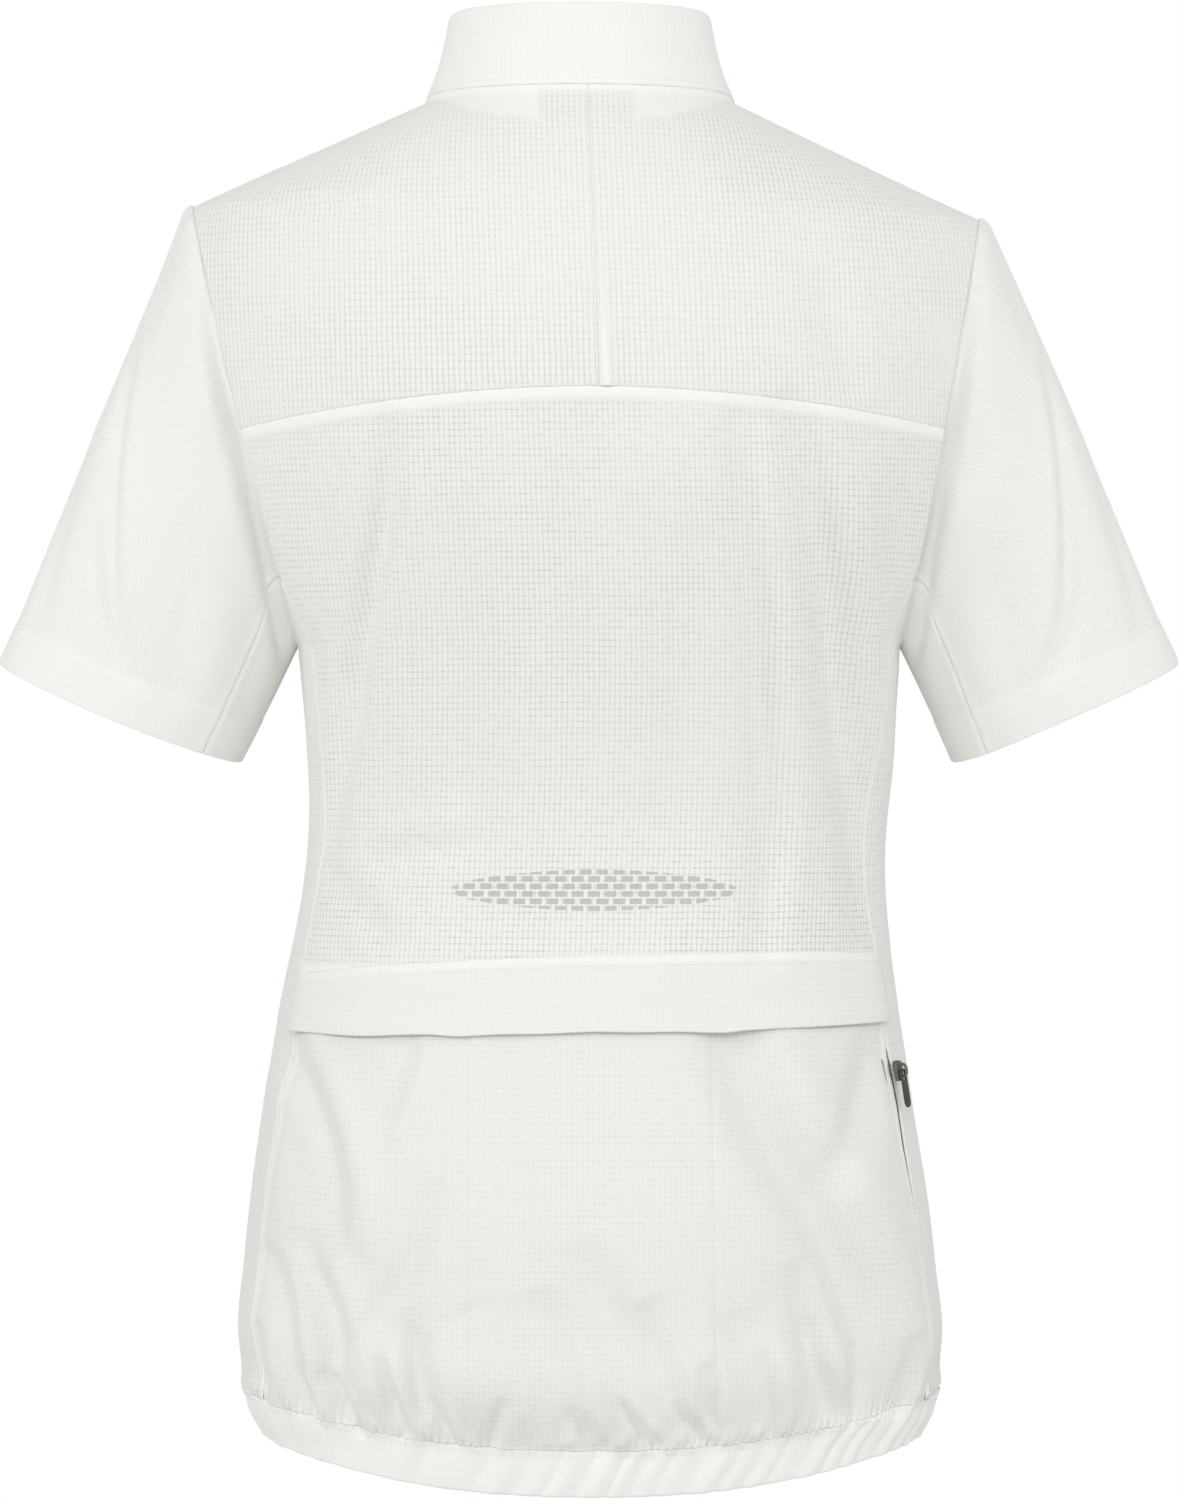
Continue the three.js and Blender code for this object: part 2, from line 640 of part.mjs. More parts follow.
function collarWall() {
  const left = [...backNeckTurns(1).slice(0, -1), ...frontNeckTurns.toReversed()];
  const right = [...backNeckTurns(-1).slice(0, -1), ...frontNeckTurns.toReversed()];
  const turns = [...right.toReversed().map((turn) => -turn), ...left.slice(1)];
  const outer = [];
  const facingWay = [];
  for (let j = 0; j <= collar.rows; j++) {
    const up = j / collar.rows;
    outer.push(turns.map((turn) => collarPoint(turn, up)));
    facingWay.push(
      turns.map((turn) => {
        const p = collarPoint(turn, up);
        return surfaceNormal(collarPoint, turn, clamp(up, 0.01, 0.99), new THREE.Vector3(0, 0, p.z));
      }),
    );
  }
  return wallFrom(outer, facingWay, wall);
}
piece("collar", collarWall(), plainCloth);

// Sleeves: each a tube from the armhole to the cuff, with a plain panel underneath
const cuff = { x: 222.6, y: -12, z: -284.4, across: 59.8, through: 46, swing: 23.2, forward: 4.5 };
const sleeveGrid = { main: 20, under: 7, from: 135, cap: 5.8, capEnd: 0.04, fold: 4, foldTurn: 38 };
const sleeveSteps = [0, 0.03, 0.08, 0.18, 0.32, 0.48, 0.65, 0.82, 1];

// A point of the armhole's edge: 0 is the shoulder, a quarter turn the back, half a turn the bottom.
function armholePoint(side, turn) {
  const tip = tipOf(side);
  const half = Math.sin(turn) >= 0 ? "back" : "front";
  const middle = (tip.z + underarm.z) / 2;
  const z = middle + ((tip.z - underarm.z) / 2) * Math.cos(turn);
  const y = armholeDepth(side, half, z) * (half === "back" ? 1 : -1);
  return new THREE.Vector3(side * armholeX(side, z), y, z);
}

function cuffPoint(side, turn) {
  const swing = cuff.swing * degree;
  const forward = cuff.forward * degree;
  const out = new THREE.Vector3(side * Math.cos(swing), 0, Math.sin(swing));
  const rear = new THREE.Vector3(
    side * Math.sin(swing) * Math.sin(forward), Math.cos(forward), -Math.cos(swing) * Math.sin(forward),
  );
  return new THREE.Vector3(side * cuff.x, cuff.y, cuff.z)
    .addScaledVector(out, cuff.across * Math.cos(turn))
    .addScaledVector(rear, cuff.through * Math.sin(turn));
}

const sleeveAxis = (side, down) => {
  const start = new THREE.Vector3(side * 160, 0, -150);
  return start.lerp(new THREE.Vector3(side * cuff.x, cuff.y, cuff.z), down);
};

function sleevePoint(side, turn, down) {
  const start = armholePoint(side, turn);
  const end = cuffPoint(side, turn);
  const p = start.clone().lerp(end, down);
  const away = p.clone().sub(sleeveAxis(side, down)).normalize();
  const head = Math.max(0, Math.cos(turn)) * Math.min(1, Math.max(0, down) / sleeveGrid.capEnd) ** 0.5;
  const cap = sleeveGrid.cap * head * (1 - down);
  const across = (turn - sleeveGrid.foldTurn * degree) / (11 * degree);
  const length = Math.sin(Math.PI * clamp((down - 0.22) / 0.7, 0, 1)) ** 0.8;
  const fold = sleeveGrid.fold * Math.exp(-across * across) * length;
  return p.addScaledVector(away, cap - fold);
}

function sleeveWall(side, from, to, columns) {
  const outer = [];
  const facingWay = [];
  const surface = (turn, down) => sleevePoint(side, turn, down);
  const turns = Array.from({ length: columns + 1 }, (_, i) => mix(from, to, i / columns));
  for (const step of sleeveSteps) {
    const rowOuter = [];
    const rowFacing = [];
    for (const turn of turns) {
      const own = surfaceNormal(surface, turn, clamp(step, 0.02, 0.98), sleeveAxis(side, step));
      let p = sleevePoint(side, turn, step);
      if (step === 0) {
        const edge = armholePoint(side, turn);
        const body = formNormal(edge);
        const ahead = armholePoint(side, turn + 0.01).sub(armholePoint(side, turn - 0.01));
        const into = ahead.cross(body).normalize();
        const hole = new THREE.Vector3(edge.x, 0, -151).sub(edge);
        if (into.dot(hole) < 0) into.negate();
        const low = clamp(0.5 - 0.8 * Math.cos(turn), 0, 1);
        p = edge.addScaledVector(into, gap).addScaledVector(body, gap * low);
        own.lerp(body, smooth(clamp((Math.cos(turn) + 0.3) / 0.8, 0, 1))).normalize();
      }
      rowOuter.push(p);
      rowFacing.push(own);
    }
    outer.push(rowOuter);
    facingWay.push(rowFacing);
  }
  return wallFrom(outer, facingWay, wall);
}

for (const side of [1, -1]) {
  const name = side > 0 ? "left" : "right";
  const from = sleeveGrid.from * degree;
  const seam = 0.006; // half the gap between the sleeve and its under panel, as a turn
  piece(`sleeve_${name}`, sleeveWall(side, -from + seam, from - seam, sleeveGrid.main), meshCloth);
  const under = sleeveWall(side, from + seam, 2 * Math.PI - from - seam, sleeveGrid.under);
  piece(`under_sleeve_${name}`, under, plainCloth);
}

// Zips: each is a closed coil, a slider on it and a pull tab that swings on the slider's bridge
const slider = { length: 9.5, top: 3.7, bottom: 2.7, thick: 1.9, lift: 0.4 };
const bridge = { half: 3.4, rise: 3.8, bar: 1.1, wide: 1.7, foot: 0.6 };
const tab = { thick: 1.1, eyeHalf: 1.35, eyeEnd: 4.4, arm: 1.25, pinUp: 1.35 };

// A zip's coil as a strip of the given half widths along a line of places on the cloth.
function coilStrip(places, thick) {
  const outer = places.map(({ p, across, half }) =>
    [-half, 0, half].map((x) => p.clone().addScaledVector(across, x)),
  );
  return wallFrom(outer, places.map(({ facing: way }) => [way, way, way]), thick);
}

// Turns a flat outline (across, along) into a plate that is square to the way out of the cloth.
function plate(shape, thick) {
  const geometry = new THREE.ExtrudeGeometry(shape, { depth: thick, bevelEnabled: false, curveSegments: 5 });
  const turn = new THREE.Matrix4().makeBasis(
    new THREE.Vector3(1, 0, 0), new THREE.Vector3(0, 0, 1), new THREE.Vector3(0, -1, 0),
  );
  return geometry.applyMatrix4(turn).translate(0, thick, 0);
}

// One solid from solids that cross, or one of them less the other.
function combine(first, second, how) {
  const [a, b] = [first, second].map((geometry) => {
    const bare = new THREE.BufferGeometry();
    bare.setAttribute("position", (geometry.index ? geometry.toNonIndexed() : geometry).attributes.position);
    const merged = mergeVertices(bare, 1e-4);
    return new wasm.Manifold(
      new wasm.Mesh({
        numProp: 3, vertProperties: merged.attributes.position.array, triVerts: Uint32Array.from(merged.index.array),
      }),
    );
  });
  const mesh = a[how](b).getMesh();
  const geometry = new THREE.BufferGeometry();
  geometry.setAttribute("position", new THREE.BufferAttribute(mesh.vertProperties, 3));
  geometry.setIndex(new THREE.BufferAttribute(mesh.triVerts, 1));
  geometry.computeVertexNormals();
  return geometry;
}

// A slider's body, wide where the two sides part, with the bridge that holds the tab.
function sliderSolid() {
  const half = slider.length / 2;
  const outline = new THREE.Shape();
  outline.moveTo(-slider.bottom, -half);
  outline.lineTo(slider.bottom, -half);
  outline.lineTo(slider.top, half * 0.2);
  outline.quadraticCurveTo(slider.top, half, slider.top * 0.5, half);
  outline.lineTo(-slider.top * 0.5, half);
  outline.quadraticCurveTo(-slider.top, half, -slider.top, half * 0.2);
  outline.closePath();
  const body = plate(outline, slider.thick);
  const innerHalf = bridge.half - bridge.bar;
  const arch = new THREE.Shape();
  arch.moveTo(bridge.half, -bridge.foot);
  arch.lineTo(bridge.half, 1.6);
  arch.absellipse(0, 1.6, bridge.half, bridge.rise - 1.6, 0, Math.PI, false);
  arch.lineTo(-bridge.half, -bridge.foot);
  arch.lineTo(-innerHalf, -bridge.foot);
  arch.lineTo(-innerHalf, 1.3);
  arch.absellipse(0, 1.3, innerHalf, bridge.rise - bridge.bar - 1.3, Math.PI, 0, true);
  arch.lineTo(innerHalf, -bridge.foot);
  arch.closePath();
  const loop = new THREE.ExtrudeGeometry(arch, { depth: bridge.wide, bevelEnabled: false, curveSegments: 6 });
  const turn = new THREE.Matrix4().makeBasis(
    new THREE.Vector3(0, 0, 1), new THREE.Vector3(0, 1, 0), new THREE.Vector3(-1, 0, 0),
  );
  loop.applyMatrix4(turn).translate(bridge.wide / 2, slider.thick, 0);
  return combine(body, loop, "add");
}

// A pull tab of the given length and width, hanging down from the pin line through its eye.
function tabSolid(length, half, gripFrom) {
  const arm = tab.eyeHalf + tab.arm;
  const outline = new THREE.Shape();
  outline.moveTo(-arm, tab.thick / 2);
  outline.lineTo(-arm, -gripFrom + 1);
  outline.quadraticCurveTo(-half, -gripFrom, -half, -gripFrom - 2);
  outline.lineTo(-half, -length + half);
  outline.absarc(0, -length + half, half, Math.PI, 2 * Math.PI, false);
  outline.lineTo(half, -gripFrom - 2);
  outline.quadraticCurveTo(half, -gripFrom, arm, -gripFrom + 1);
  outline.lineTo(arm, tab.thick / 2);
  outline.closePath();
  const eye = new THREE.Path();
  eye.moveTo(-tab.eyeHalf, -tab.thick / 2);
  eye.lineTo(tab.eyeHalf, -tab.thick / 2);
  eye.lineTo(tab.eyeHalf, -tab.eyeEnd);
  eye.lineTo(-tab.eyeHalf, -tab.eyeEnd);
  eye.closePath();
  outline.holes.push(eye);
  return plate(outline, tab.thick).translate(0, -tab.thick / 2, 0);
}

// Puts a slider and its tab on the cloth at a place, square to the cloth and along the zip.
function zipHardware(name, place, lift, length, half, gripFrom) {
  const out = place.facing;
  const up = place.along.clone().addScaledVector(out, -place.along.dot(out)).normalize();
  const across = out.clone().cross(up);
  const base = lean(place.p).addScaledVector(out, lift);
  const frame = new THREE.Matrix4().makeBasis(across, out, up).setPosition(base);
  const pinUp = slider.thick + tab.pinUp;
  const pin = new THREE.Matrix4().makeBasis(across, out, up).setPosition(base.clone().addScaledVector(out, pinUp));
  piece(`${name}_slider`, sliderSolid().applyMatrix4(frame), zipMetal);
  const pull = piece(`${name}_tab`, tabSolid(length, half, gripFrom).applyMatrix4(pin), gripRubber);
  pull.userData.pin = { at: new THREE.Vector3().setFromMatrixPosition(pin), axis: across };
}

// Front zip: down the middle of the front and up the collar
const frontZip = { coilHalf: 2.8, coilThick: 1.6, lift: 0.3, bodyRows: 15, collarRows: 3, sliderUp: 0.72 };

function frontZipPlace(up) {
  const middle = new THREE.Vector3(0, 0, 0);
  const p = collarPoint(Math.PI, up);
  const way = surfaceNormal(collarPoint, Math.PI - 0.01, clamp(up, 0.01, 0.99), middle.setZ(p.z)).setX(0);
  const next = collarPoint(Math.PI, up + 0.01).sub(p).normalize();
  return { p, facing: way.normalize(), across: new THREE.Vector3(1, 0, 0), along: next };
}

function frontZipCoil() {
  const places = [];
  const bottom = hemBottom(Math.PI) + 4;
  for (let j = 0; j <= frontZip.bodyRows; j++) {
    const z = mix(bottom, collarSeam(Math.PI) - 1, j / frontZip.bodyRows);
    const p = facePoint("front", 0, z);
    places.push({ p, facing: formNormal(p), across: new THREE.Vector3(1, 0, 0), half: frontZip.coilHalf });
  }
  for (let j = 1; j <= frontZip.collarRows; j++) {
    const up = (0.97 * j) / frontZip.collarRows;
    places.push({ ...frontZipPlace(up), half: mix(frontZip.coilHalf, 2.35, up) });
  }
  places.forEach(({ p, facing: way }) => p.addScaledVector(way, frontZip.lift));
  return coilStrip(places, frontZip.coilThick);
}

piece("front_zip_coil", frontZipCoil(), zipCoil);
zipHardware("front_zip", frontZipPlace(frontZip.sliderUp), frontZip.lift + slider.lift, 23, 2.9, 8);

// Side pocket's zip: down the right side seam, beside the pocket
function sideSeamPlace(z) {
  const turnAt = (level) => -edgeTurn(-1, "back", level);
  const p = ringPoint(turnAt(z), z);
  const next = ringPoint(turnAt(z + 1), z + 1).sub(p).normalize();
  const way = formNormal(p);
  return { p, facing: way, along: next, across: way.clone().cross(next).normalize() };
}

function pocketZipCoil() {
  const places = [];
  const rows = 7;
  for (let j = 0; j <= rows; j++) {
    const z = mix(pocketZip.bottom, pocketZip.top, j / rows);
    const fromEnd = Math.min(z - pocketZip.bottom, pocketZip.top - z);
    const half = mix(0.4, pocketZip.coilHalf, Math.min(1, fromEnd / pocketZip.taper));
    const place = sideSeamPlace(z);
    const fold = foldDepth("back", place.p.x, place.p.z);
    place.p.addScaledVector(place.facing, layer - fold);
    places.push({ ...place, half });
  }
  return coilStrip(places, pocketZip.thick);
}

piece("pocket_zip_coil", pocketZipCoil(), zipCoil);
zipHardware("pocket_zip", sideSeamPlace(-452), layer + slider.lift, 17.5, 2.7, 7);

export default root;
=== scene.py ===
import math

import bmesh
import bpy
import numpy as np
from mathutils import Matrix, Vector


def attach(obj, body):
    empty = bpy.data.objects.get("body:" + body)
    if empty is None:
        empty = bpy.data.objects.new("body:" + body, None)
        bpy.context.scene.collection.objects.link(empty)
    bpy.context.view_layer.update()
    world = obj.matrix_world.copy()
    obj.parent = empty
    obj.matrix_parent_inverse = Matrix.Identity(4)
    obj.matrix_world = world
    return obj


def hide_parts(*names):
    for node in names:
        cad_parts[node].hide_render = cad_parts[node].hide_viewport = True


# A cycling jersey filled out as if it were worn, seen from behind. The cut is worked out in
# millimetres, +Z up, front towards -Y, and every mesh is stored in metres.
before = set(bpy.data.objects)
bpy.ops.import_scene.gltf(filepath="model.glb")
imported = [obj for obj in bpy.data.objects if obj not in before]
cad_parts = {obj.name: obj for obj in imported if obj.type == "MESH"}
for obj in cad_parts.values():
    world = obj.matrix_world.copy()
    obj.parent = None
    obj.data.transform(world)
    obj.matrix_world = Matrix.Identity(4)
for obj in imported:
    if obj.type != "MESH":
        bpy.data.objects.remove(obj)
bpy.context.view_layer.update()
quarter = math.pi / 2
metre = 0.001  # one millimetre

# The body's form: level rings, as the solid panels have them
cut = {
    "neckHalf": 72.5, "neckBack": 3.7, "neckDrop": 59, "dropPower": 4,
    "tipLeft": (184, -48), "tipRight": (184, -54), "underarm": (141.5, -255),
    "armholeBack": 54, "armholeFront": 50,
    "yokeMiddle": -138.5, "yokeDrop": 16, "yokeAt": 160, "yokePower": 1.85, "centreBack": -4,
    "sideBack": 0.94, "sideFront": 0.97, "frontOpening": 3.2,
    "hemSide": -622, "hemBackDrop": 18, "hemFrontRise": 9, "hemPower": 2.4, "hemHeight": 21,
    "flapTop": -396, "pocketTop": -414,
}
halfRows = {
    -645: 149, -622: 153, -610: 158.5, -595: 161.5, -560: 162.8, -520: 160, -468: 152.5,
    -420: 145, -374: 137.5, -338: 135.3, -303: 137, -255: 141.5,
}
# height: back depth, front depth, squareness, how far the ring stands to one side
depthRows = {
    -645: (104, 88, 2.3, -2), -622: (110, 93, 2.3, -1.5), -600: (116, 99, 2.3, -0.6),
    -565: (120, 103, 2.3, 0), -520: (117, 103, 2.3, 0), -468: (104, 100, 2.3, 0.6),
    -420: (90, 96, 2.3, 0), -374: (81, 95, 2.3, -1.9), -338: (79, 98, 2.3, -3.4),
    -303: (83, 106, 2.3, -4.3), -255: (93, 119, 2.3, -4.6), -210: (102, 127, 2.3, -3.5),
    -170: (108, 124, 2.2, -2), -130: (110, 112, 2, -0.5), -90: (106, 90, 1.8, 0.8),
    -56: (97, 62, 1.7, 2.2), -42: (91, 53, 1.7, 2.8), -16: (75, 37, 1.8, 3.8),
    -4: (63.5, 22, 1.95, 4.2), 4: (58, 14, 2, 4.3), 45: (54, 14, 2, 4.3),
}
fineZ = np.arange(-660.0, 61.0, 0.5)


def unit(v):
    return v / np.maximum(np.linalg.norm(v, axis=-1, keepdims=True), 1e-9)


def runAlong(points):
    # the length along a line of points, at each of them
    return np.concatenate([[0], np.cumsum(np.linalg.norm(np.diff(points, axis=0), axis=-1))])


def interpEach(at, knots, values):
    return np.stack([np.interp(at, knots, values[:, k]) for k in range(values.shape[1])], -1)


def sideOf(x):
    return np.where(x < 0, -1.0, 1.0)


def bell(distance, wide, power=2):
    # 1 on a line, dying away on both sides of it
    return np.exp(-(np.abs(distance / wide) ** power))


def soften(distance, reach):
    # 0 up to a line, then smoothly up to 1 over the reach
    t = np.clip(distance / reach, 0, 1)
    return t * t * (3 - 2 * t)


def curveThrough(at, knots, values):
    # a soft curve through a few values
    z = np.array(knots, float)
    v = np.array(values, float)
    slope = np.empty_like(v)
    slope[1:-1] = (v[2:] - v[:-2]) / (z[2:] - z[:-2])
    slope[0] = (v[1] - v[0]) / (z[1] - z[0])
    slope[-1] = (v[-1] - v[-2]) / (z[-1] - z[-2])
    at = np.clip(at, z[0], z[-1])
    i = np.clip(np.searchsorted(z, at) - 1, 0, len(z) - 2)
    span = z[i + 1] - z[i]
    t = (at - z[i]) / span
    return (
        (2 * t**3 - 3 * t**2 + 1) * v[i] + (t**3 - 2 * t**2 + t) * span * slope[i]
        + (3 * t**2 - 2 * t**3) * v[i + 1] + (t**3 - t**2) * span * slope[i + 1]
    )


bodyHalf = curveThrough(fineZ, list(halfRows), list(halfRows.values()))
ring = {
    name: curveThrough(fineZ, list(depthRows), [row[k] for row in depthRows.values()])
    for k, name in enumerate(("back", "front", "square", "sway"))
}


def onCurve(curve, z):
    return np.interp(z, fineZ, curve)


def depthAt(back, z):
    return np.where(back, onCurve(ring["back"], z), onCurve(ring["front"], z))


def squareAt(z):
    return onCurve(ring["square"], z)


def collarSeam(turn):
    return cut["neckBack"] - cut["neckDrop"] * ((1 - np.cos(turn)) / 2) ** cut["dropPower"]


neckZ = float(collarSeam(quarter))


def tipOf(side):
    x = np.where(side > 0, cut["tipLeft"][0], cut["tipRight"][0])
    return x, np.where(side > 0, cut["tipLeft"][1], cut["tipRight"][1])


def armholeX(side, z):
    tipX, tipZ = tipOf(side)
    underX, underZ = cut["underarm"]
    return underX + (tipX - underX) * (z - underZ) / (tipZ - underZ)


def armholeDepth(side, back, z):
    tipX, tipZ = tipOf(side)
    middle = (tipZ + cut["underarm"][1]) / 2
    reach = (tipZ - cut["underarm"][1]) / 2
    deep = np.where(back, cut["armholeBack"], cut["armholeFront"])
    return deep * np.sqrt(np.maximum(0, 1 - ((z - middle) / reach) ** 2))


def halfWidth(side, back, z):
    tipX, tipZ = tipOf(side)
    square = squareAt(z)
    share = np.minimum(armholeDepth(side, back, z) / depthAt(back, z), 0.995)
    middle = armholeX(side, z) / (1 - share**square) ** (1 / square)
    shoulder = tipX + (cut["neckHalf"] - tipX) * (z - tipZ) / (neckZ - tipZ)
    return np.select(
        [z <= cut["underarm"][1], z < tipZ, z < neckZ], [onCurve(bodyHalf, z), middle, shoulder],
        cut["neckHalf"],
    )


def ringPoint(turn, z):
    # a point by its turn from the centre back, to the wearer's left (+) or right (-)
    turn, z = np.broadcast_arrays(np.asarray(turn, float), np.asarray(z, float))
    side = sideOf(turn)
    back = np.abs(turn) <= quarter
    power = 2 / squareAt(z)
    x = side * halfWidth(side, back, z) * np.abs(np.sin(turn)) ** power
    y = depthAt(back, z) * np.abs(np.cos(turn)) ** power * np.where(back, 1, -1)
    return np.stack([x, y, z], -1)


def facePoint(back, x, z):
    # a point by how it looks square on
    x, z = np.broadcast_arrays(np.asarray(x, float), np.asarray(z, float))
    square = squareAt(z)
    across = np.abs(x) / halfWidth(sideOf(x), back, z)
    y = depthAt(back, z) * np.maximum(0, 1 - across**square) ** (1 / square)
    return np.stack([x, y if back else -y, z], -1)


def lean(p):
    # the rings' sway, which the sleeves don't take part in
    out = p.copy()
    out[..., 0] += onCurve(ring["sway"], p[..., 2]) * (1 - soften(np.abs(p[..., 0]) - 150, 80))
    return out


def hemBottom(turn):
    through = np.abs(np.cos(turn)) ** cut["hemPower"]
    back = np.abs(turn) <= quarter
    return cut["hemSide"] + np.where(back, -cut["hemBackDrop"], cut["hemFrontRise"]) * through


def hemTop(turn):
    return hemBottom(turn) + cut["hemHeight"]


def yokeSeam(x):
    return cut["yokeMiddle"] - cut["yokeDrop"] * (np.abs(x) / cut["yokeAt"]) ** cut["yokePower"]


def edgeTurn(side, back, z):
    share = cut["sideBack"] if back else cut["sideFront"]
    up = np.minimum(share, armholeX(side, z) / halfWidth(side, back, z))
    share = np.where(z > cut["underarm"][1], up, share)
    return np.arcsin(np.clip(share, 0, 1) ** (squareAt(z) / 2))


# Folds: soft troughs, seen square on. Each row has its width, depth and lip, then the places (x, z)
# that it passes. A fold fades out at both ends, and the lip is the share of its depth that rises
# again on one side. The pocket's folds pass under the flap.
folds = {
    "back": [
        (6.5, 5.8, 0.4, (93, -146), (95, -180), (99, -208), (108, -250), (115, -290), (120, -320),
         (126, -360)),
        (10, 7.7, 0.4, (-84, -140), (-97, -165), (-103, -200), (-108, -240), (-113, -290), (-120, -330),
         (-127, -398)),
        (8, 5.2, 0.35, (-67, -144), (-69, -190), (-73, -240), (-76, -290), (-80, -340), (-78, -406)),
    ],
    "pocket": [
        (13, 12.5, 0.32, (-60, -424), (-67, -444), (-76, -462), (-90, -486), (-102, -505), (-112, -524),
         (-122, -552), (-127, -580), (-128, -608)),
        (9, 5.6, 0.08, (-133, -428), (-128, -455), (-122, -476), (-114, -494), (-106, -510)),
        (8, 7.8, 0.4, (141, -428), (136, -446), (131, -458), (126, -470), (121, -484), (117, -505),
         (115, -536)),
        (7.5, 4.5, 0.4, (66, -498), (78, -518), (84, -540), (94, -557), (103, -575), (106, -594)),
        (7, 7.6, 0.4, (134, -522), (122, -552), (115, -570), (115, -588), (107, -608)),
        (6, 6, 0.4, (147, -530), (141, -553), (137, -570), (134, -585), (128, -608)),
        (10, 4.5, 0.3, (4, -524), (-8, -555), (-17, -582), (-24, -608)),
        (6.5, 5.2, 0.4, (-93, -534), (-98, -560), (-101, -582), (-110, -610)),
    ],
    "front": [
        (16, 5, 0.4, (58, -205), (57, -313), (70, -420)),
        (15, 4.4, 0.4, (-60, -215), (-61, -307), (-76, -400)),
        (12, 3.8, 0.3, (120, -150), (96, -178), (66, -195)),
        (12, 3.8, 0.3, (-122, -154), (-99, -180), (-70, -196)),
        (14, 5, 0.4, (40, -470), (61, -532), (92, -590)),
        (14, 5, 0.4, (-44, -480), (-65, -534), (-96, -592)),
    ],
}
# Creases: the finer folds that only the cloth has
creases = {
    "pocket": [
        (4, 2.6, 0.5, (79, -430), (83, -449), (89, -464), (96, -482)),
        (3.4, 0.8, 0.4, (67, -563), (55, -557), (42, -550)),
        (3.2, 4, 0.5, (121, -584), (113, -598), (103, -616)),
        (3.4, 3.9, 0.5, (94, -576), (90, -592), (83, -614)),
        (6, 3.1, 0.3, (82, -562), (78, -582), (73, -606)),
        (6, 3.1, 0.3, (-24, -552), (-30, -575), (-37, -600)),
        (5, 3.9, 0.3, (-52, -578), (-54, -596), (-51, -616)),
        (4, 3.1, 0.4, (-77, -574), (-81, -592), (-82, -614)),
        (4, 3.1, 0.4, (-121, -572), (-122, -592), (-117, -612)),
        (3.6, 2.8, 0.5, (-146, -570), (-143, -590), (-138, -610)),
        (10, 1.9, 0.2, (38, -430), (36, -480), (32, -520), (26, -564)),
        (8, 3.1, 0.2, (140, -466), (131, -500), (122, -534)),
        (3, 2.8, 0.5, (-12, -594), (-20, -606), (-30, -620)),
        (3, 2.6, 0.5, (-38, -596), (-46, -608), (-54, -620)),
        (4, 2.4, 0.4, (10, -598), (2, -610), (-6, -622)),
        (3, 3.1, 0.5, (71, -594), (66, -608), (59, -620)),
        (3, 2.8, 0.5, (132, -586), (128, -598), (124, -612)),
        (4, 2.8, 0.4, (38, -594), (43, -606), (49, -620)),
        (10, 3.2, 0.1, (84, -556), (78, -586), (72, -612)),
        (12, 3.6, 0.1, (24, -546), (17, -582), (12, -614)),
        (10, 3, 0.1, (-30, -548), (-35, -582), (-40, -612)),
        (10, 3.2, 0.1, (-64, -556), (-70, -584), (-74, -610)),
        (9, 2.6, 0.1, (-98, -560), (-103, -586), (-107, -608)),
        (4, 4.5, 0.2, (150, -566), (151, -588), (148, -606)),
    ],
    "back": [
        (16, 1.6, 0.2, (20, -150), (16, -230), (8, -330)),
        (12, 1.4, 0.3, (-40, -200), (-38, -290), (-30, -376)),
        (14, 1.6, 0.3, (62, -190), (58, -290), (52, -380)),
        (7, 1.4, 0.3, (114, -354), (82, -350), (48, -345)),
        (7, 1.6, 0.4, (126, -356), (108, -376), (92, -394)),
        (10, 2.2, 0.2, (-104, -86), (-112, -112), (-121, -142)),
        (5, 1.6, 0.4, (154, -44), (126, -52), (94, -60)),
        (9, 1, 0.3, (128, -236), (118, -268), (112, -300)),
        (11, 1.7, 0.2, (-146, -160), (-138, -210), (-130, -262)),
    ],
    "front": [
        (8, 2.2, 0.4, (132, -230), (114, -250), (100, -262)),
        (8, 2.2, 0.4, (-132, -228), (-116, -247), (-96, -258)),
        (9, 1.6, 0.4, (30, -300), (44, -327), (64, -350)),
        (9, 1.5, 0.4, (-28, -316), (-40, -346), (-60, -372)),
        (9, 1.8, 0.4, (104, -392), (90, -420), (70, -440)),
        (9, 1.6, 0.4, (-108, -404), (-95, -432), (-76, -452)),
        (8, 1.9, 0.5, (24, -520), (27, -560), (36, -600)),
        (8, 1.8, 0.5, (-20, -530), (-23, -565), (-30, -600)),
        (8, 2.2, 0.5, (122, -520), (121, -560), (128, -602)),
        (8, 2, 0.5, (-124, -512), (-124, -558), (-132, -602)),
        (10, 1.5, 0.3, (44, -72), (66, -96), (92, -112)),
        (10, 1.5, 0.3, (-46, -70), (-68, -97), (-96, -116)),
    ],
}


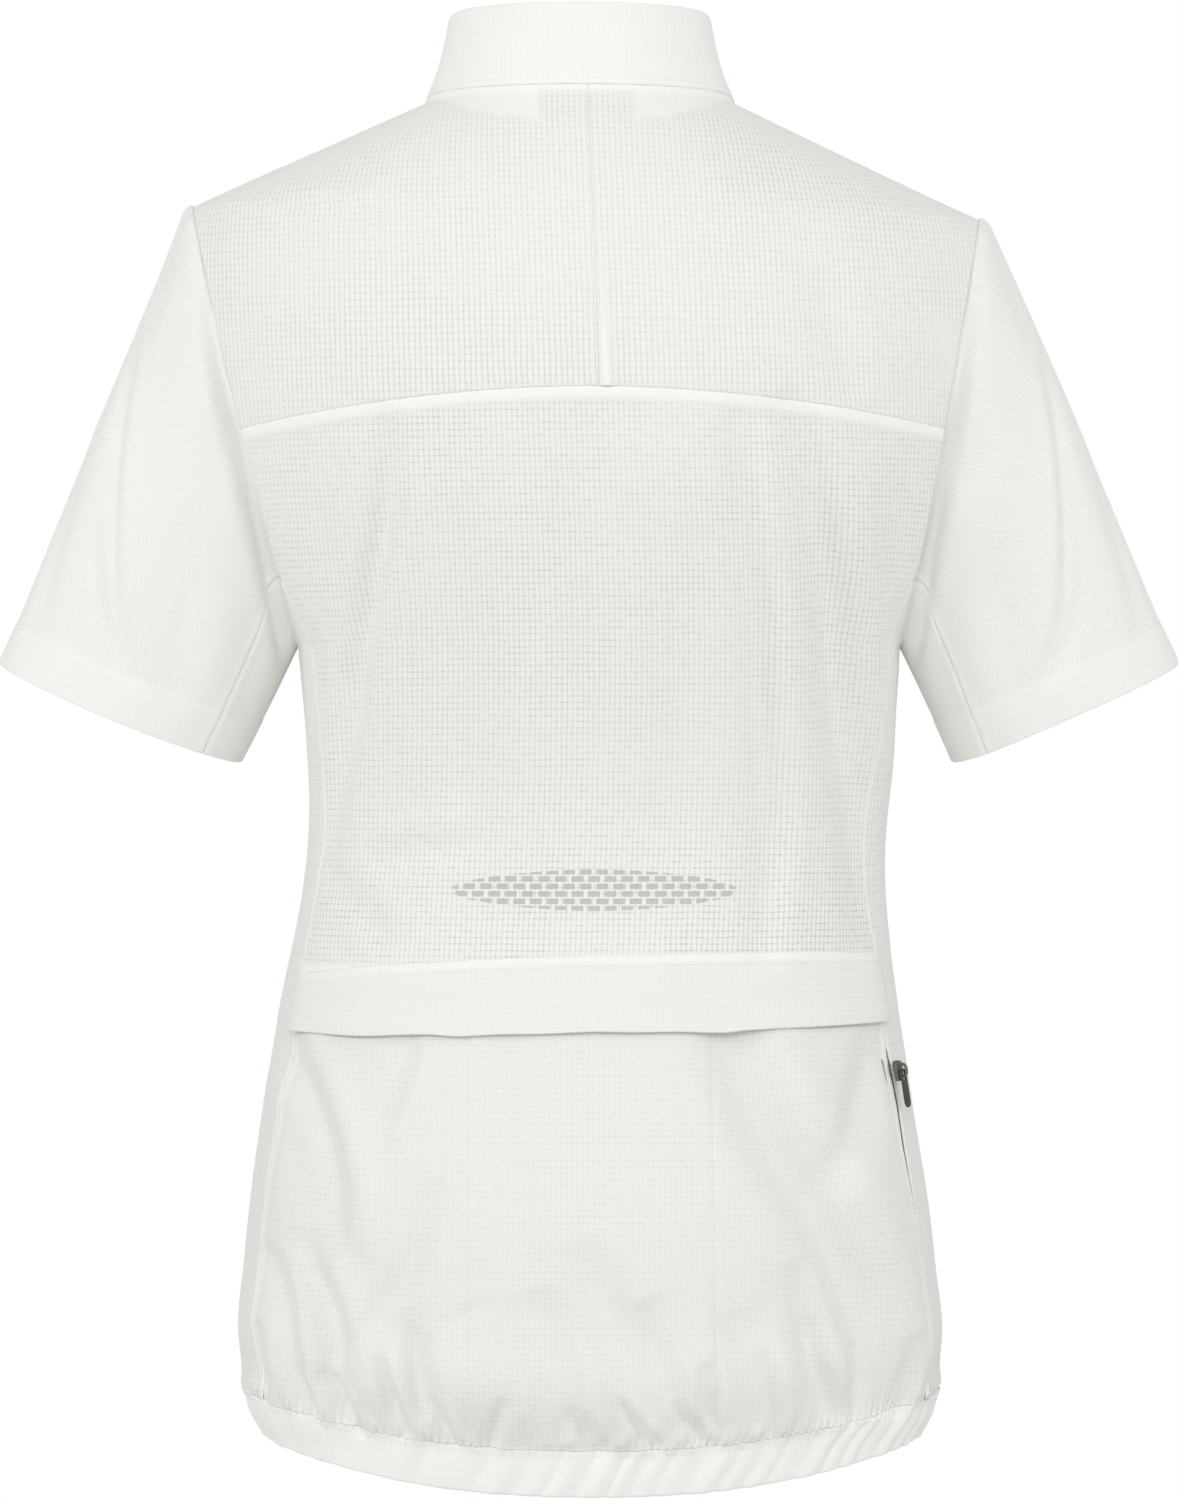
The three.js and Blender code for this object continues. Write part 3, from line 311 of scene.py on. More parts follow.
def foldDepth(rows, p, parts=("back", "pocket", "front")):
    # how far the folds sink at each point of a grid
    depth = np.zeros(p.shape[:-1])
    flat = p[..., (0, 2)]
    pieces = 14  # in each fold's line
    for part, (width, deep, lip, *path) in [(part, row) for part in parts for row in rows[part]]:
        knots = np.array(path, float)
        reach = 3.6 * width
        near = ((flat > knots.min(0) - reach) & (flat < knots.max(0) + reach)).all(-1)
        near &= (p[..., 1] < 0) == (part == "front")
        q = flat[near]
        run = runAlong(knots)
        at = np.linspace(0, run[-1], pieces + 1)
        line = np.stack([curveThrough(at, run, knots[:, k]) for k in (0, 1)], -1)
        closest, share, aside = np.full(len(q), np.inf), np.zeros(len(q)), np.zeros(len(q))
        for j, (a, b) in enumerate(zip(line[:-1], line[1:])):
            way = b - a
            t = np.clip((q - a) @ way / (way @ way), 0, 1)
            far = np.linalg.norm(q - a - t[:, None] * way, axis=1)
            side = (q[:, 0] - a[0]) * way[1] - (q[:, 1] - a[1]) * way[0]
            nearer = far < closest
            closest = np.where(nearer, far, closest)
            share = np.where(nearer, (j + t) / pieces, share)
            aside = np.where(nearer, np.copysign(far, side), aside)
        off = aside / width
        ends = np.sin(math.pi * share) ** np.clip(3 * width / run[-1], 0.6, 1.3)
        depth[near] += deep * (bell(off, 1) - lip * bell(off - 1.7, 1)) * ends
    return depth


def spread(length, cell):
    # shares from 0 to 1 at even steps, with closer lines beside both edges for the seams
    even = np.linspace(0, 1, max(4, round(length / cell)) + 1)
    close = np.array([0, 0.7, 1.5, 2.6, 4.2]) / length
    inner = even[(even > close[-1] * 1.2) & (even < 1 - close[-1] * 1.2)]
    return np.concatenate([close, inner, 1 - close[::-1]])


def gridNormals(p, axis=None):
    # the way a grid of points faces, away from the garment's inside
    n = unit(np.cross(np.gradient(p, axis=1), np.gradient(p, axis=0)))
    away = p * [1, 1, 0] if axis is None else p - axis
    return -n if (n * away).sum(-1).mean() < 0 else n


def cellSides(p):
    return [np.linalg.norm(np.diff(p, axis=k), axis=-1) for k in (1, 0)]


def arcs(p):
    # lengths along the cloth from its first column and from its lowest row, in millimetres
    du, dv = cellSides(p)
    return np.pad(np.cumsum(du, 1), ((0, 0), (1, 0))), np.pad(np.cumsum(dv, 0), ((1, 0), (0, 0)))


# lengths across the bare form from its middle, and up its back
grainRows = {}
for back, side in ((True, -1.0), (True, 1.0), (False, -1.0), (False, 1.0)):
    levels = fineZ[::4, None]
    x = halfWidth(side, back, levels) * np.sin(np.linspace(0, quarter, 60))
    grainRows[back, side] = arcs(facePoint(back, side * x, levels))[0]
climb = depthAt(True, fineZ) * (1 - 0.4 ** squareAt(fineZ)) ** (1 / squareAt(fineZ))
climb = runAlong(np.stack([climb, fineZ], -1))


def grain(p):
    # straight-grain lengths on the bare form: sideways from the middle at one level, and upward
    across = np.zeros(p.shape[:-1])
    for (back, side), table in grainRows.items():
        ours = ((p[..., 1] >= 0) == back) & ((p[..., 0] >= 0) == (side > 0))
        x, z = p[ours][:, 0] * side, p[ours][:, 2]
        down = np.clip((z - fineZ[0]) / 2, 0, len(table) - 1.001)
        along = np.arcsin(np.clip(x / halfWidth(side, back, z), 0, 1)) / quarter * 58.999
        i, j = down.astype(int), along.astype(int)
        di, dj = down - i, along - j
        low = table[i, j] * (1 - dj) + table[i, j + 1] * dj
        high = table[i + 1, j] * (1 - dj) + table[i + 1, j + 1] * dj
        across[ours] = side * (low * (1 - di) + high * di)
    return across, onCurve(climb, p[..., 2])


def edgeDistances(p):
    u, v = arcs(p)
    return {"start": u, "end": u[:, -1:] - u, "low": v, "high": v[-1:] - v}


def turnUnder(p, n, atEnd, radius, depth):
    # folds the grid's last (or first) row over and brings it back up inside by a depth
    if not atEnd:
        p, n = p[::-1], n[::-1]
    v = arcs(p)[1]
    ahead = unit(p[-1] - p[-2])
    turns = (0.6, 1.2, 1.8, 2.4)
    bend = [p[-1] + n[-1] * (radius * (math.cos(a) - 1)) + ahead * (radius * math.sin(a)) for a in turns]
    facing = [n[-1] * math.cos(a) + ahead * math.sin(a) for a in turns]
    fromEdge = (v[-1] - v).mean(axis=1)
    keep = [j for j in range(len(p) - 1, -1, -1) if fromEdge[j] <= depth]
    stacked = np.concatenate([p, bend, p[keep] - n[keep] * 2 * radius])
    normals = np.concatenate([n, facing, -n[keep]])
    return (stacked, normals) if atEnd else (stacked[::-1], normals[::-1])


def newPiece(name, mesh, finish, body="jersey"):
    # an object that rides on a CAD body, with its finish
    material, usualSlot = finishes[finish]
    mesh.polygons.foreach_set("use_smooth", [True] * len(mesh.polygons))
    mesh.materials.clear()
    mesh.materials.append(material)
    piece = bpy.data.objects.new(name, mesh)
    bpy.context.scene.collection.objects.link(piece)
    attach(piece, body)
    return piece


def readAll(items, field, wide=1, kind=np.float32):
    values = np.empty(len(items) * wide, kind)
    items.foreach_get(field, values)
    return values.reshape(-1, wide) if wide > 1 else values


def clothMesh(name, p, n, openAndShade, finish, node, uv=None, fullness=1.0, thickness=0.5):
    # a sheet on a grid of points: UVs are lengths along the cloth in metres
    rows, columns = p.shape[:2]
    bm = bmesh.new()
    bmesh.ops.create_grid(bm, x_segments=columns - 1, y_segments=rows - 1, size=1)
    mesh = bpy.data.meshes.new(name)
    bm.to_mesh(mesh)
    bm.free()
    co = readAll(mesh.vertices, "co", 3)
    col = np.rint((co[:, 0] + 1) / 2 * (columns - 1)).astype(int)
    row = np.rint((co[:, 1] + 1) / 2 * (rows - 1)).astype(int)
    mesh.vertices.foreach_set("co", (lean(p) * metre)[row, col].astype(np.float32).ravel())
    u, v = arcs(p)
    sides = (u - u[:, columns // 2][:, None], v) if uv is None else uv
    corner = readAll(mesh.loops, "vertex_index", kind=np.int32)
    places = np.stack([lengths[row, col] for lengths in sides], -1) * metre
    mesh.uv_layers.new(name="cloth").data.foreach_set("uv", places[corner].astype(np.float32).ravel())
    openLayer = mesh.attributes.new("open", "FLOAT", "POINT")
    open32 = np.broadcast_to(openAndShade, (rows, columns))[row, col].astype(np.float32)
    openLayer.data.foreach_set("value", open32)
    mesh.update()
    first = corner[readAll(mesh.polygons, "loop_start", kind=np.int32)]
    if (n[row[first], col[first]] * readAll(mesh.polygons, "normal", 3)).sum() < 0:
        mesh.flip_normals()
    piece = newPiece(name, mesh, finish)
    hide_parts(node)
    wall = piece.modifiers.new("wall", "SOLIDIFY")
    wall.thickness = thickness * metre
    wall.offset = -1
    # the cut: the panel's own size laid flat, longer where it is gathered
    du, dv = cellSides(p)
    area = float((0.25 * (du[1:] + du[:-1]) * (dv[:, 1:] + dv[:, :-1])).sum()) * fullness
    flat = (round(float(u[:, -1].max()) * fullness * metre, 3), round(float(v[-1].max()) * metre, 3))
    area = min(area * metre**2, 0.999 * flat[0] * flat[1])
    cutSizes[name] = {"flat": flat, "area": round(area, 4)}


cutSizes = {}
sewn = {}  # each panel's finished grid, for the stitches that follow its edges
print("form ready")

# Materials
# The single-layer colour and the dark holes are painted shade: the jersey's shaded inside seen through the
# sheer grid. Doubled is the paler cloth where a second layer hides it.
clothLook = {
    "mesh": {
        "colour": (0.852, 0.859, 0.817), "doubled": (0.9, 0.905, 0.87), "line": (0.64, 0.65, 0.61),
        "hole": (0.3, 0.31, 0.285), "columns": 0.9, "rows": 0.5,
    },
    "back": {
        "colour": (0.855, 0.862, 0.82), "doubled": (0.9, 0.905, 0.87), "line": (0.64, 0.65, 0.61),
        "hole": (0.3, 0.31, 0.285), "columns": 0.92, "rows": 1.2,
    },
    "pocket": {
        "colour": (0.832, 0.839, 0.796), "doubled": (0.885, 0.89, 0.855), "line": (0.61, 0.62, 0.58),
        "hole": (0.3, 0.31, 0.285), "columns": 0.65, "rows": 1.35,
    },
    "sleeve": {
        "colour": (0.878, 0.884, 0.845), "doubled": (0.91, 0.915, 0.88), "line": (0.66, 0.67, 0.63),
        "hole": (0.33, 0.34, 0.31), "columns": 0.9, "rows": 0.7,
    },
    "plain": {
        "colour": (0.89, 0.895, 0.86), "doubled": (0.91, 0.915, 0.88), "line": (0.7, 0.71, 0.67),
        "hole": (0.5, 0.51, 0.48), "columns": 0.8, "rows": 0.8,
    },
    "band": {
        "colour": (0.93, 0.935, 0.9), "doubled": (0.955, 0.96, 0.92), "line": (0.7, 0.71, 0.67),
        "hole": (0.5, 0.51, 0.48), "columns": 0.8, "rows": 0.8,
    },
    "across": 2.58, "down": 3.26, "lineShare": 0.6,
    "shader": {"Roughness": 0.82, "Sheen Weight": 0.38, "Sheen Roughness": 0.38, "Specular IOR Level": 0.25},
    "print": (0.5, 0.51, 0.46), "printAt": (-2.3, -367), "printHalf": (66, 9.6), "printPitch": (7.6, 3.4),
}


def newTree(name, inputs, outputs):
    # a node group: its inputs are numbers with their usual values, or vectors where there is none
    group = bpy.data.node_groups.new(name, "ShaderNodeTree")
    for label, value in inputs.items():
        kind = "NodeSocketVector" if value is None else "NodeSocketFloat"
        socket = group.interface.new_socket(label, in_out="INPUT", socket_type=kind)
        if value is not None:
            socket.default_value = value
    for label in outputs:
        group.interface.new_socket(label, in_out="OUTPUT", socket_type="NodeSocketFloat")
    return group, group.nodes.new("NodeGroupInput").outputs, group.nodes.new("NodeGroupOutput").inputs


def addNode(tree, kind, links=None, **settings):
    # a node with its settings, its fixed socket values and its links by socket name or number
    node = tree.nodes.new(kind)
    for key, value in settings.items():
        setattr(node, key, value)
    for socket, value in (links or {}).items():
        if isinstance(value, bpy.types.NodeSocket):
            tree.links.new(value, node.inputs[socket])
        else:
            node.inputs[socket].default_value = value
    return node


def maths(tree, operation, a, b=0.0, c=0.0):
    return addNode(tree, "ShaderNodeMath", {0: a, 1: b, 2: c}, operation=operation).outputs[0]


def times(tree, *values):
    product = values[0]
    for value in values[1:]:
        product = maths(tree, "MULTIPLY", product, value)
    return product


def ramp(tree, value, low, high, toLow=0.0, toHigh=1.0):
    links = {"Value": value, "From Min": low, "From Max": high, "To Min": toLow, "To Max": toHigh}
    return addNode(tree, "ShaderNodeMapRange", links, interpolation_type="SMOOTHSTEP").outputs[0]


def vectorMaths(tree, operation, links):
    return addNode(tree, "ShaderNodeVectorMath", links, operation=operation).outputs[0]


def noise(tree, vector, scale, detail, **more):
    links = {"Vector": vector, "Scale": scale, "Detail": detail, **more}
    return addNode(tree, "ShaderNodeTexNoise", links).outputs


def mixColours(tree, share, *pair):
    # colours are sockets or plain triples
    a, b = [c if isinstance(c, bpy.types.NodeSocket) else (*c, 1) for c in pair]
    return addNode(tree, "ShaderNodeMix", {0: share, "A": a, "B": b}, data_type="RGBA").outputs["Result"]


def gridKnitGroup():
    # an open grid: fine lines both ways, with a small upright hole at each crossing
    group, given, result = newTree(
        "gridKnit",
        {"Vector": None, "Across": 0.00246, "Down": 0.00287, "Hole Across": 0.17, "Hole Down": 0.27,
         "Columns": 1.0, "Rows": 0.5},
        ("Holes", "Lines", "Height"),
    )
    wobble = noise(group, given["Vector"], 60.0, 1.0)["Color"]
    shift = vectorMaths(group, "SUBTRACT", {0: wobble, 1: (0.5, 0.5, 0.5)})
    small = vectorMaths(group, "SCALE", {0: shift, "Scale": 0.0009})
    moved = vectorMaths(group, "ADD", {0: given["Vector"], 1: small})
    place = addNode(group, "ShaderNodeSeparateXYZ", {0: moved}).outputs
    across = maths(group, "DIVIDE", place["X"], given["Across"])
    down = maths(group, "DIVIDE", place["Y"], given["Down"])
    du, dv = maths(group, "PINGPONG", across, 0.5), maths(group, "PINGPONG", down, 0.5)
    cell = {0: maths(group, "ROUND", across), 1: maths(group, "ROUND", down)}
    cell = addNode(group, "ShaderNodeCombineXYZ", cell).outputs[0]
    own = addNode(group, "ShaderNodeTexWhiteNoise", {"Vector": cell}, noise_dimensions="2D").outputs[0]
    aside = maths(group, "POWER", maths(group, "DIVIDE", du, given["Hole Across"]), 2)
    above = maths(group, "POWER", maths(group, "DIVIDE", dv, given["Hole Down"]), 2)
    apart = maths(group, "SQRT", maths(group, "ADD", aside, above))
    holes = times(group, ramp(group, apart, 0.1, 1.0, 0.6, 0.0), ramp(group, own, 0.0, 1.0, 0.45, 1.0))
    lineDown = times(group, ramp(group, du, 0.03, 0.26, 1.0, 0.0), given["Columns"])
    broken = times(group, ramp(group, own, 0.2, 0.9, 0.3, 1.0), given["Rows"])
    lineAcross = times(group, ramp(group, dv, 0.03, 0.18, 1.0, 0.0), broken)
    lines = maths(group, "MAXIMUM", lineDown, lineAcross)
    sunk = maths(group, "ADD", times(group, lines, 0.5), holes)
    group.links.new(holes, result["Holes"])
    group.links.new(lines, result["Lines"])
    group.links.new(maths(group, "SUBTRACT", 1.0, sunk), result["Height"])
    return group


def dashPrintGroup():
    # rows of short staggered dashes inside a lens, as printed for being seen at night
    group, given, result = newTree(
        "dashPrint",
        {"Vector": None, "Half Width": 0.066, "Half Height": 0.0096, "Dash Pitch": 0.0076,
         "Row Pitch": 0.0034},
        ("Print",),
    )
    place = addNode(group, "ShaderNodeSeparateXYZ", {0: given["Vector"]}).outputs

    def share(way, size, power):
        part = maths(group, "ABSOLUTE", maths(group, "DIVIDE", place[way], given[size]))
        return maths(group, "POWER", part, power)

    row = maths(group, "DIVIDE", place["Z"], given["Row Pitch"])
    odd = maths(group, "MODULO", maths(group, "ABSOLUTE", maths(group, "FLOOR", row)), 2.0)
    run = maths(group, "ADD", maths(group, "DIVIDE", place["X"], given["Dash Pitch"]), times(group, odd, 0.5))
    bar = ramp(group, maths(group, "PINGPONG", run, 0.5), 0.13, 0.16)
    line = ramp(group, maths(group, "PINGPONG", row, 0.5), 0.1, 0.14)
    lens = maths(group, "ADD", share("X", "Half Width", 1.6), share("Z", "Half Height", 2.0))
    within = ramp(group, lens, 0.97, 1.0, 1.0, 0.0)
    group.links.new(times(group, bar, line, within), result["Print"])
    return group


def crumpleGroup():
    # the soft unevenness of thin cloth, from hand-size waves to small puckers
    group, given, result = newTree("crumple", {"Vector": None, "Scale": 1.0}, ("Height", "Patches"))
    scaled = vectorMaths(group, "SCALE", {0: given["Vector"], "Scale": given["Scale"]})
    wide = noise(group, scaled, 22.0, 2.0, Roughness=0.45)[0]
    small = noise(group, scaled, 90.0, 1.5)[0]
    patches = noise(group, scaled, 9.0, 3.0)[0]
    group.links.new(maths(group, "ADD", wide, times(group, small, 0.18)), result["Height"])
    group.links.new(ramp(group, patches, 0.3, 0.7), result["Patches"])
    return group


groups = {"knit": gridKnitGroup(), "print": dashPrintGroup(), "crumple": crumpleGroup()}


def groupNode(tree, name, links):
    return addNode(tree, "ShaderNodeGroup", links, node_tree=groups[name]).outputs


def newMaterial(name):
    material = bpy.data.materials.new(name)
    material.use_nodes = True
    tree = material.node_tree
    here = addNode(tree, "ShaderNodeTexCoord").outputs["Object"]
    return material, tree, tree.nodes["Principled BSDF"].inputs, here


def bumped(tree, height, strength, distance, links=None):
    links = {"Height": height, "Strength": strength, "Distance": distance, **(links or {})}
    return addNode(tree, "ShaderNodeBump", links).outputs[0]


def clothMaterial(name, look, printed=False):
    material, tree, shader, here = newMaterial(name)
    knit = groupNode(tree, "knit", {
        "Vector": addNode(tree, "ShaderNodeUVMap", uv_map="cloth").outputs[0],
        "Across": clothLook["across"] * metre, "Down": clothLook["down"] * metre,
        "Columns": look["columns"], "Rows": look["rows"],
    })
    crumple = groupNode(tree, "crumple", {"Vector": here})
    facing = addNode(tree, "ShaderNodeLayerWeight", {"Blend": 0.5}).outputs["Facing"]
    # how much painted shade of the inside shows through the grid: less where another layer lies behind, and
    # less where the cloth is seen edge-on
    shadeShowing = addNode(tree, "ShaderNodeAttribute", attribute_name="open").outputs["Fac"]
    shadeShowing = times(tree, shadeShowing, ramp(tree, facing, 0.45, 0.85, 1.0, 0.25))
    uneven = times(tree, shadeShowing, ramp(tree, crumple["Patches"], 0.0, 1.0, 0.7, 1.1))
    single = times(tree, shadeShowing, 5.0)
    single.node.use_clamp = True
    colour = mixColours(tree, single, look["doubled"], look["colour"])
    colour = mixColours(tree, times(tree, knit["Lines"], uneven, clothLook["lineShare"]), colour, look["line"])
    colour = mixColours(tree, times(tree, knit["Holes"], uneven), colour, look["hole"])
    if printed:
        (x, z), (halfX, halfZ), (dash, row) = [clothLook[key] for key in ("printAt", "printHalf", "printPitch")]
        toPrint = {"Vector": here, "Location": (-x * metre, 0, -z * metre)}
        centred = addNode(tree, "ShaderNodeMapping", toPrint)
        shown = groupNode(tree, "print", {
            "Vector": centred.outputs[0], "Half Width": halfX * metre, "Half Height": halfZ * metre,
            "Dash Pitch": dash * metre, "Row Pitch": row * metre,
        })
        colour = mixColours(tree, times(tree, shown["Print"], 0.85), colour, clothLook["print"])
    tree.links.new(colour, shader["Base Color"])
    knitBump = bumped(tree, knit["Height"], 0.25, 0.0002)
    tree.links.new(bumped(tree, crumple["Height"], 0.5, 0.0022, {"Normal": knitBump}), shader["Normal"])
    for socket, value in clothLook["shader"].items():
        shader[socket].default_value = value
    return material


def hardMaterial(name, colour, roughness, metallic, scale):
    material, tree, shader, here = newMaterial(name)
    grain = noise(tree, here, scale, 3.0)[0]
    mixed = mixColours(tree, grain, [0.8 * c for c in colour], [1.2 * c for c in colour])
    tree.links.new(mixed, shader["Base Color"])
    tree.links.new(ramp(tree, grain, 0.3, 0.7, roughness - 0.08, roughness + 0.08), shader["Roughness"])
    tree.links.new(bumped(tree, grain, 0.2, 0.0002), shader["Normal"])
    shader["Metallic"].default_value = metallic
    return material


finishes = {  # material and CAD slot
    "mesh": (clothMaterial("meshCloth", clothLook["mesh"]), "mesh_cloth"),
    "printed": (clothMaterial("printedCloth", clothLook["back"], printed=True), "mesh_cloth"),
    "pocket": (clothMaterial("pocketCloth", clothLook["pocket"]), "plain_cloth"),
    "sleeve": (clothMaterial("sleeveCloth", clothLook["sleeve"]), "mesh_cloth"),
    "plain": (clothMaterial("plainCloth", clothLook["plain"]), "plain_cloth"),
    "band": (clothMaterial("bandCloth", clothLook["band"]), "plain_cloth"),
    "thread": (hardMaterial("threadWhite", (0.86, 0.87, 0.83), 0.6, 0, 4000), "plain_cloth"),
    "coil": (hardMaterial("zipCoil", (0.075, 0.083, 0.062), 0.55, 0, 1500), "zip_coil"),
    "tape": (hardMaterial("zipTape", (0.36, 0.38, 0.32), 0.8, 0, 3000), "zip_coil"),
    "metal": (hardMaterial("zipMetal", (0.16, 0.175, 0.13), 0.38, 0.7, 900), "zip_metal"),
    "grip": (hardMaterial("gripRubber", (0.045, 0.052, 0.038), 0.55, 0, 1200), "pull_tab"),
}
print("materials ready")

# Panels. Openness is how clearly the grid of holes shows, and with it the painted shade of the inside seen
# through them: less where another layer lies behind.
panelLook = {
    "cell": 2.6, "hiddenCell": 3.4, "seamWide": 1.0, "puckers": 0.12,
    "yokeOpen": 0.9, "backOpen": 0.8, "sideOpen": 0.95, "frontOpen": 0.8, "sleeveOpen": 0.32,
    "underSleeveOpen": 0.12, "pocketOpen": 0.3,
    # dip along the seam, rise of the allowance behind it and its width
    "seam": (0.2, 0.12, 5), "ridge": (0.05, 0.3, 5.5), "bare": (0.12, 0, 5), "side": (0.22, 0.45, 3.2),
    "hem": (0.03, 0, 5), "over": (0.05, 0, 5),
}


def seamShape(p, edges, puckers):
    # the dip along sewn edges, the slight rise where the seam allowance lies behind, and puckers
    far = edgeDistances(p)
    lift = np.zeros(p.shape[:2])
    for edge, kind in edges.items():
        d = far[edge]
        dip, rise, reach = panelLook[kind]
        lift += rise * soften(d, 1.6) * (1 - soften(d - reach, 2.5)) - dip * bell(d, panelLook["seamWide"])
        run = far["low"] if edge in ("start", "end") else far["start"]
        wave = np.sin(run / 2.3 + 1.3 * np.sin(run / 13)) * np.sin(run / 5.1 + 0.7)
        lift += puckers * wave * bell(d - 3, 5)
    return lift


def openShape(p, level, backed):
    # backed: how wide a second layer lies behind each edge
    far = edgeDistances(p)
    openAndShade = np.full(p.shape[:2], float(level))
    for edge, wide in backed.items():
        openAndShade *= soften(far[edge] - wide + 0.6, 1.2 + 0.25 * wide)
    return openAndShade


def finishPanel(node, p, openAndShade, finish, edges, lift=0.0, finer=(1, 1), fullness=1.0):
    # a panel with its folds and seams; finer is how much closer its grid is than the usual one
    n = gridNormals(p)
    push = lift - foldDepth(folds, p) - foldDepth(creases, p) + seamShape(p, edges, panelLook["puckers"])
    uv = [lengths * scale for lengths, scale in zip(grain(p), finer)]
    p = p + n * push[..., None]
    clothMesh(f"{node}_cloth", p, n, openAndShade, finish, node, uv, fullness)
    sewn[node] = (p, n)


def zipParting(z):
    # how far the right side seam opens beside the pocket's zip, in millimetres
    return 1.5 * soften(z + 526, 46) * (1 - soften(z + 446, 10))


def backTurn(share, z):
    reach = np.where(share < 0, edgeTurn(-1.0, True, z), edgeTurn(1.0, True, z))
    parting = np.where(share < 0, zipParting(z), 0)
    return share * (reach - parting * np.abs(share) ** 8 / 130)


def backTop(share):
    z = np.full(np.shape(share), float(cut["yokeMiddle"]))
    for _ in range(8):
        z = yokeSeam(ringPoint(backTurn(share, z), z)[..., 0])
    return z


# the flap's edges by place across the back: top, bottom and how far the bottom stands off
flapRows = {
    -150: (-396.8, -428.2, 0.2), -138: (-396.4, -428.5, 0.5), -120: (-396, -429.2, 0.9),
    -100: (-395.5, -430, 0.8),
    -80: (-395.5, -430.6, 0.9), -68: (-395.6, -431.2, 0.7), -60: (-395.7, -431.9, 0), -40: (-396, -431.4, 0.1),
    -20: (-396.3, -431.6, 0.4), 0: (-396.7, -431.4, 0.35), 20: (-397.3, -432.3, 0.2), 40: (-398, -432.6, 0.1),
    58: (-399, -433.6, -0.05), 70: (-400, -433, 0.6), 80: (-400.5, -433.2, 0.7), 100: (-402, -434.2, 1.0),
    120: (-404.4, -433.4, 0.7), 137: (-406.4, -432.6, 0.6), 150: (-407, -432, 0.2),
}


def flapRow(column, turn):
    x = 143 * np.sign(turn) * np.abs(np.sin(turn)) ** 0.87
    return curveThrough(x, list(flapRows), [row[column] for row in flapRows.values()])


def backSheet(low, high, cell, across=None):
    # the stretch of the back between two heights, each a function of the turn
    shares = spread(340, across or cell) * 2 - 1
    bottom, top = low(shares * 1.2), high(shares)
    rows = spread(float(np.mean(top - bottom)), cell)
    z = bottom + (top - bottom) * rows[:, None]
    return ringPoint(backTurn(np.broadcast_to(shares, z.shape), z), z)


def easeBend(p):
    # spreads the bend at the underarm's level over a hand's width, away from the panel's edges
    even = p.copy()
    for _ in range(240):
        even[1:-1] += 0.5 * ((even[:-2] + even[2:]) / 2 - even[1:-1])
    far = edgeDistances(p)
    near = bell(p[..., 2] - cut["underarm"][1], 62) * soften(np.minimum(far["start"], far["end"]) - 1, 20)
    out = p.copy()
    out[..., :2] += (even - p)[..., :2] * near[..., None]
    return out


p = easeBend(backSheet(hemTop, backTop, panelLook["cell"]))
behindPocket = soften(-p[..., 2] + cut["flapTop"] - 3, 4)
openAndShade = openShape(p, panelLook["backOpen"], {"high": 5, "start": 0.8, "end": 0.8}) * (1 - behindPocket)
# the grid shows more strongly lower on the back, darkening it towards the flap as painted shade
openAndShade = openAndShade * (1 + 0.5 * soften(-p[..., 2] - 290, 80))
finishPanel(
    "back_panel", p, openAndShade, "printed", {"high": "ridge", "start": "bare", "end": "bare"},
    finer=(1.068, 1.118),
)

# Pocket panel, gathered into the hem, and the flap over its mouth
pocketLook = {"lift": 1.4, "edgeLift": 0.45, "flapLift": 3.0, "dividers": (55, -57)}


def unevenWave(along, pitch, seed):
    # ridges of uneven width and height along a gathered edge, from 0 to 1
    drift = 0.8 * np.sin(along / 31 + seed) + 0.55 * np.sin(along / 13.7 + 2 * seed)
    drift = drift + 0.3 * np.sin(along / 5.9 + seed)
    wave = 0.5 - 0.5 * np.cos(2 * math.pi * along / pitch + drift)
    size = 0.62 + 0.38 * np.sin(along / 19.0 + 1.7 * seed) * np.sin(along / 43.0 + seed)
    return wave * size


# The hem's elastic gathers the band and the cloth above it into the same slanting folds
hemLook = {"count": 1000, "slant": 10.5, "height": 2.3, "base": 0.9, "fold": 1.1, "puckers": (3.6, 4.0)}
# how far along the hem from the front's middle, as a share: the folds' pitch in millimetres
hemPitch = {
    0: 13, 0.2: 12, 0.28: 12, 0.36: 13, 0.43: 11.5, 0.5: 14, 0.56: 19, 0.64: 21, 0.74: 17, 0.85: 13, 1: 13,
}
# pitch, height and fade of the puckers and folds; height, place and reach of the bulge; and how
# high the hem's folds are at its edges and how far they carry on above it
gatherLook = {
    "puckers": (3.6, 2.1, 7.5), "folds": (12.0, 2.3, 15), "bulge": (5.6, 28, 20), "slant": 0.3,
    "carry": (1.4, 8),
}
hemTurns = np.linspace(-math.pi, math.pi, 2881)
hemRun = runAlong(ringPoint(hemTurns, hemBottom(hemTurns) + 10))
phaseAt = np.linspace(-40, hemRun[-1] + 60, 1800)
phaseStep = np.interp(phaseAt / hemRun[-1], list(hemPitch), list(hemPitch.values()))
phaseTurns = np.concatenate([[0], np.cumsum(np.diff(phaseAt) / phaseStep[1:])])


def turnOf(p):
    side = sideOf(p[..., 0])
    back = p[..., 1] >= 0
    share = np.clip(np.abs(p[..., 0]) / halfWidth(side, back, p[..., 2]), 0, 1)
    bow = np.arcsin(share ** (squareAt(p[..., 2]) / 2))
    return side * np.where(back, bow, math.pi - bow)


def runOf(turn):
    return np.interp(turn, hemTurns, hemRun)


def hemRidge(run, up):
    # the slanting folds' height from 0 to 1; up is 0 at the band's bottom and 1 at its top
    place = run + hemLook["slant"] * (up + 0.15 * np.sin(math.pi * up) * np.sin(run / 17))
    phase = np.interp(place, phaseAt, phaseTurns)
    phase = phase + 0.2 * np.sin(place / 23.0) + 0.12 * np.sin(place / 8.3 + 1)
    size = 0.62 + 0.38 * np.sin(phase * 2.4 + 0.6) * np.sin(phase * 0.9)
    return (0.5 - 0.5 * np.cos(2 * math.pi * phase)) ** 0.6 * size


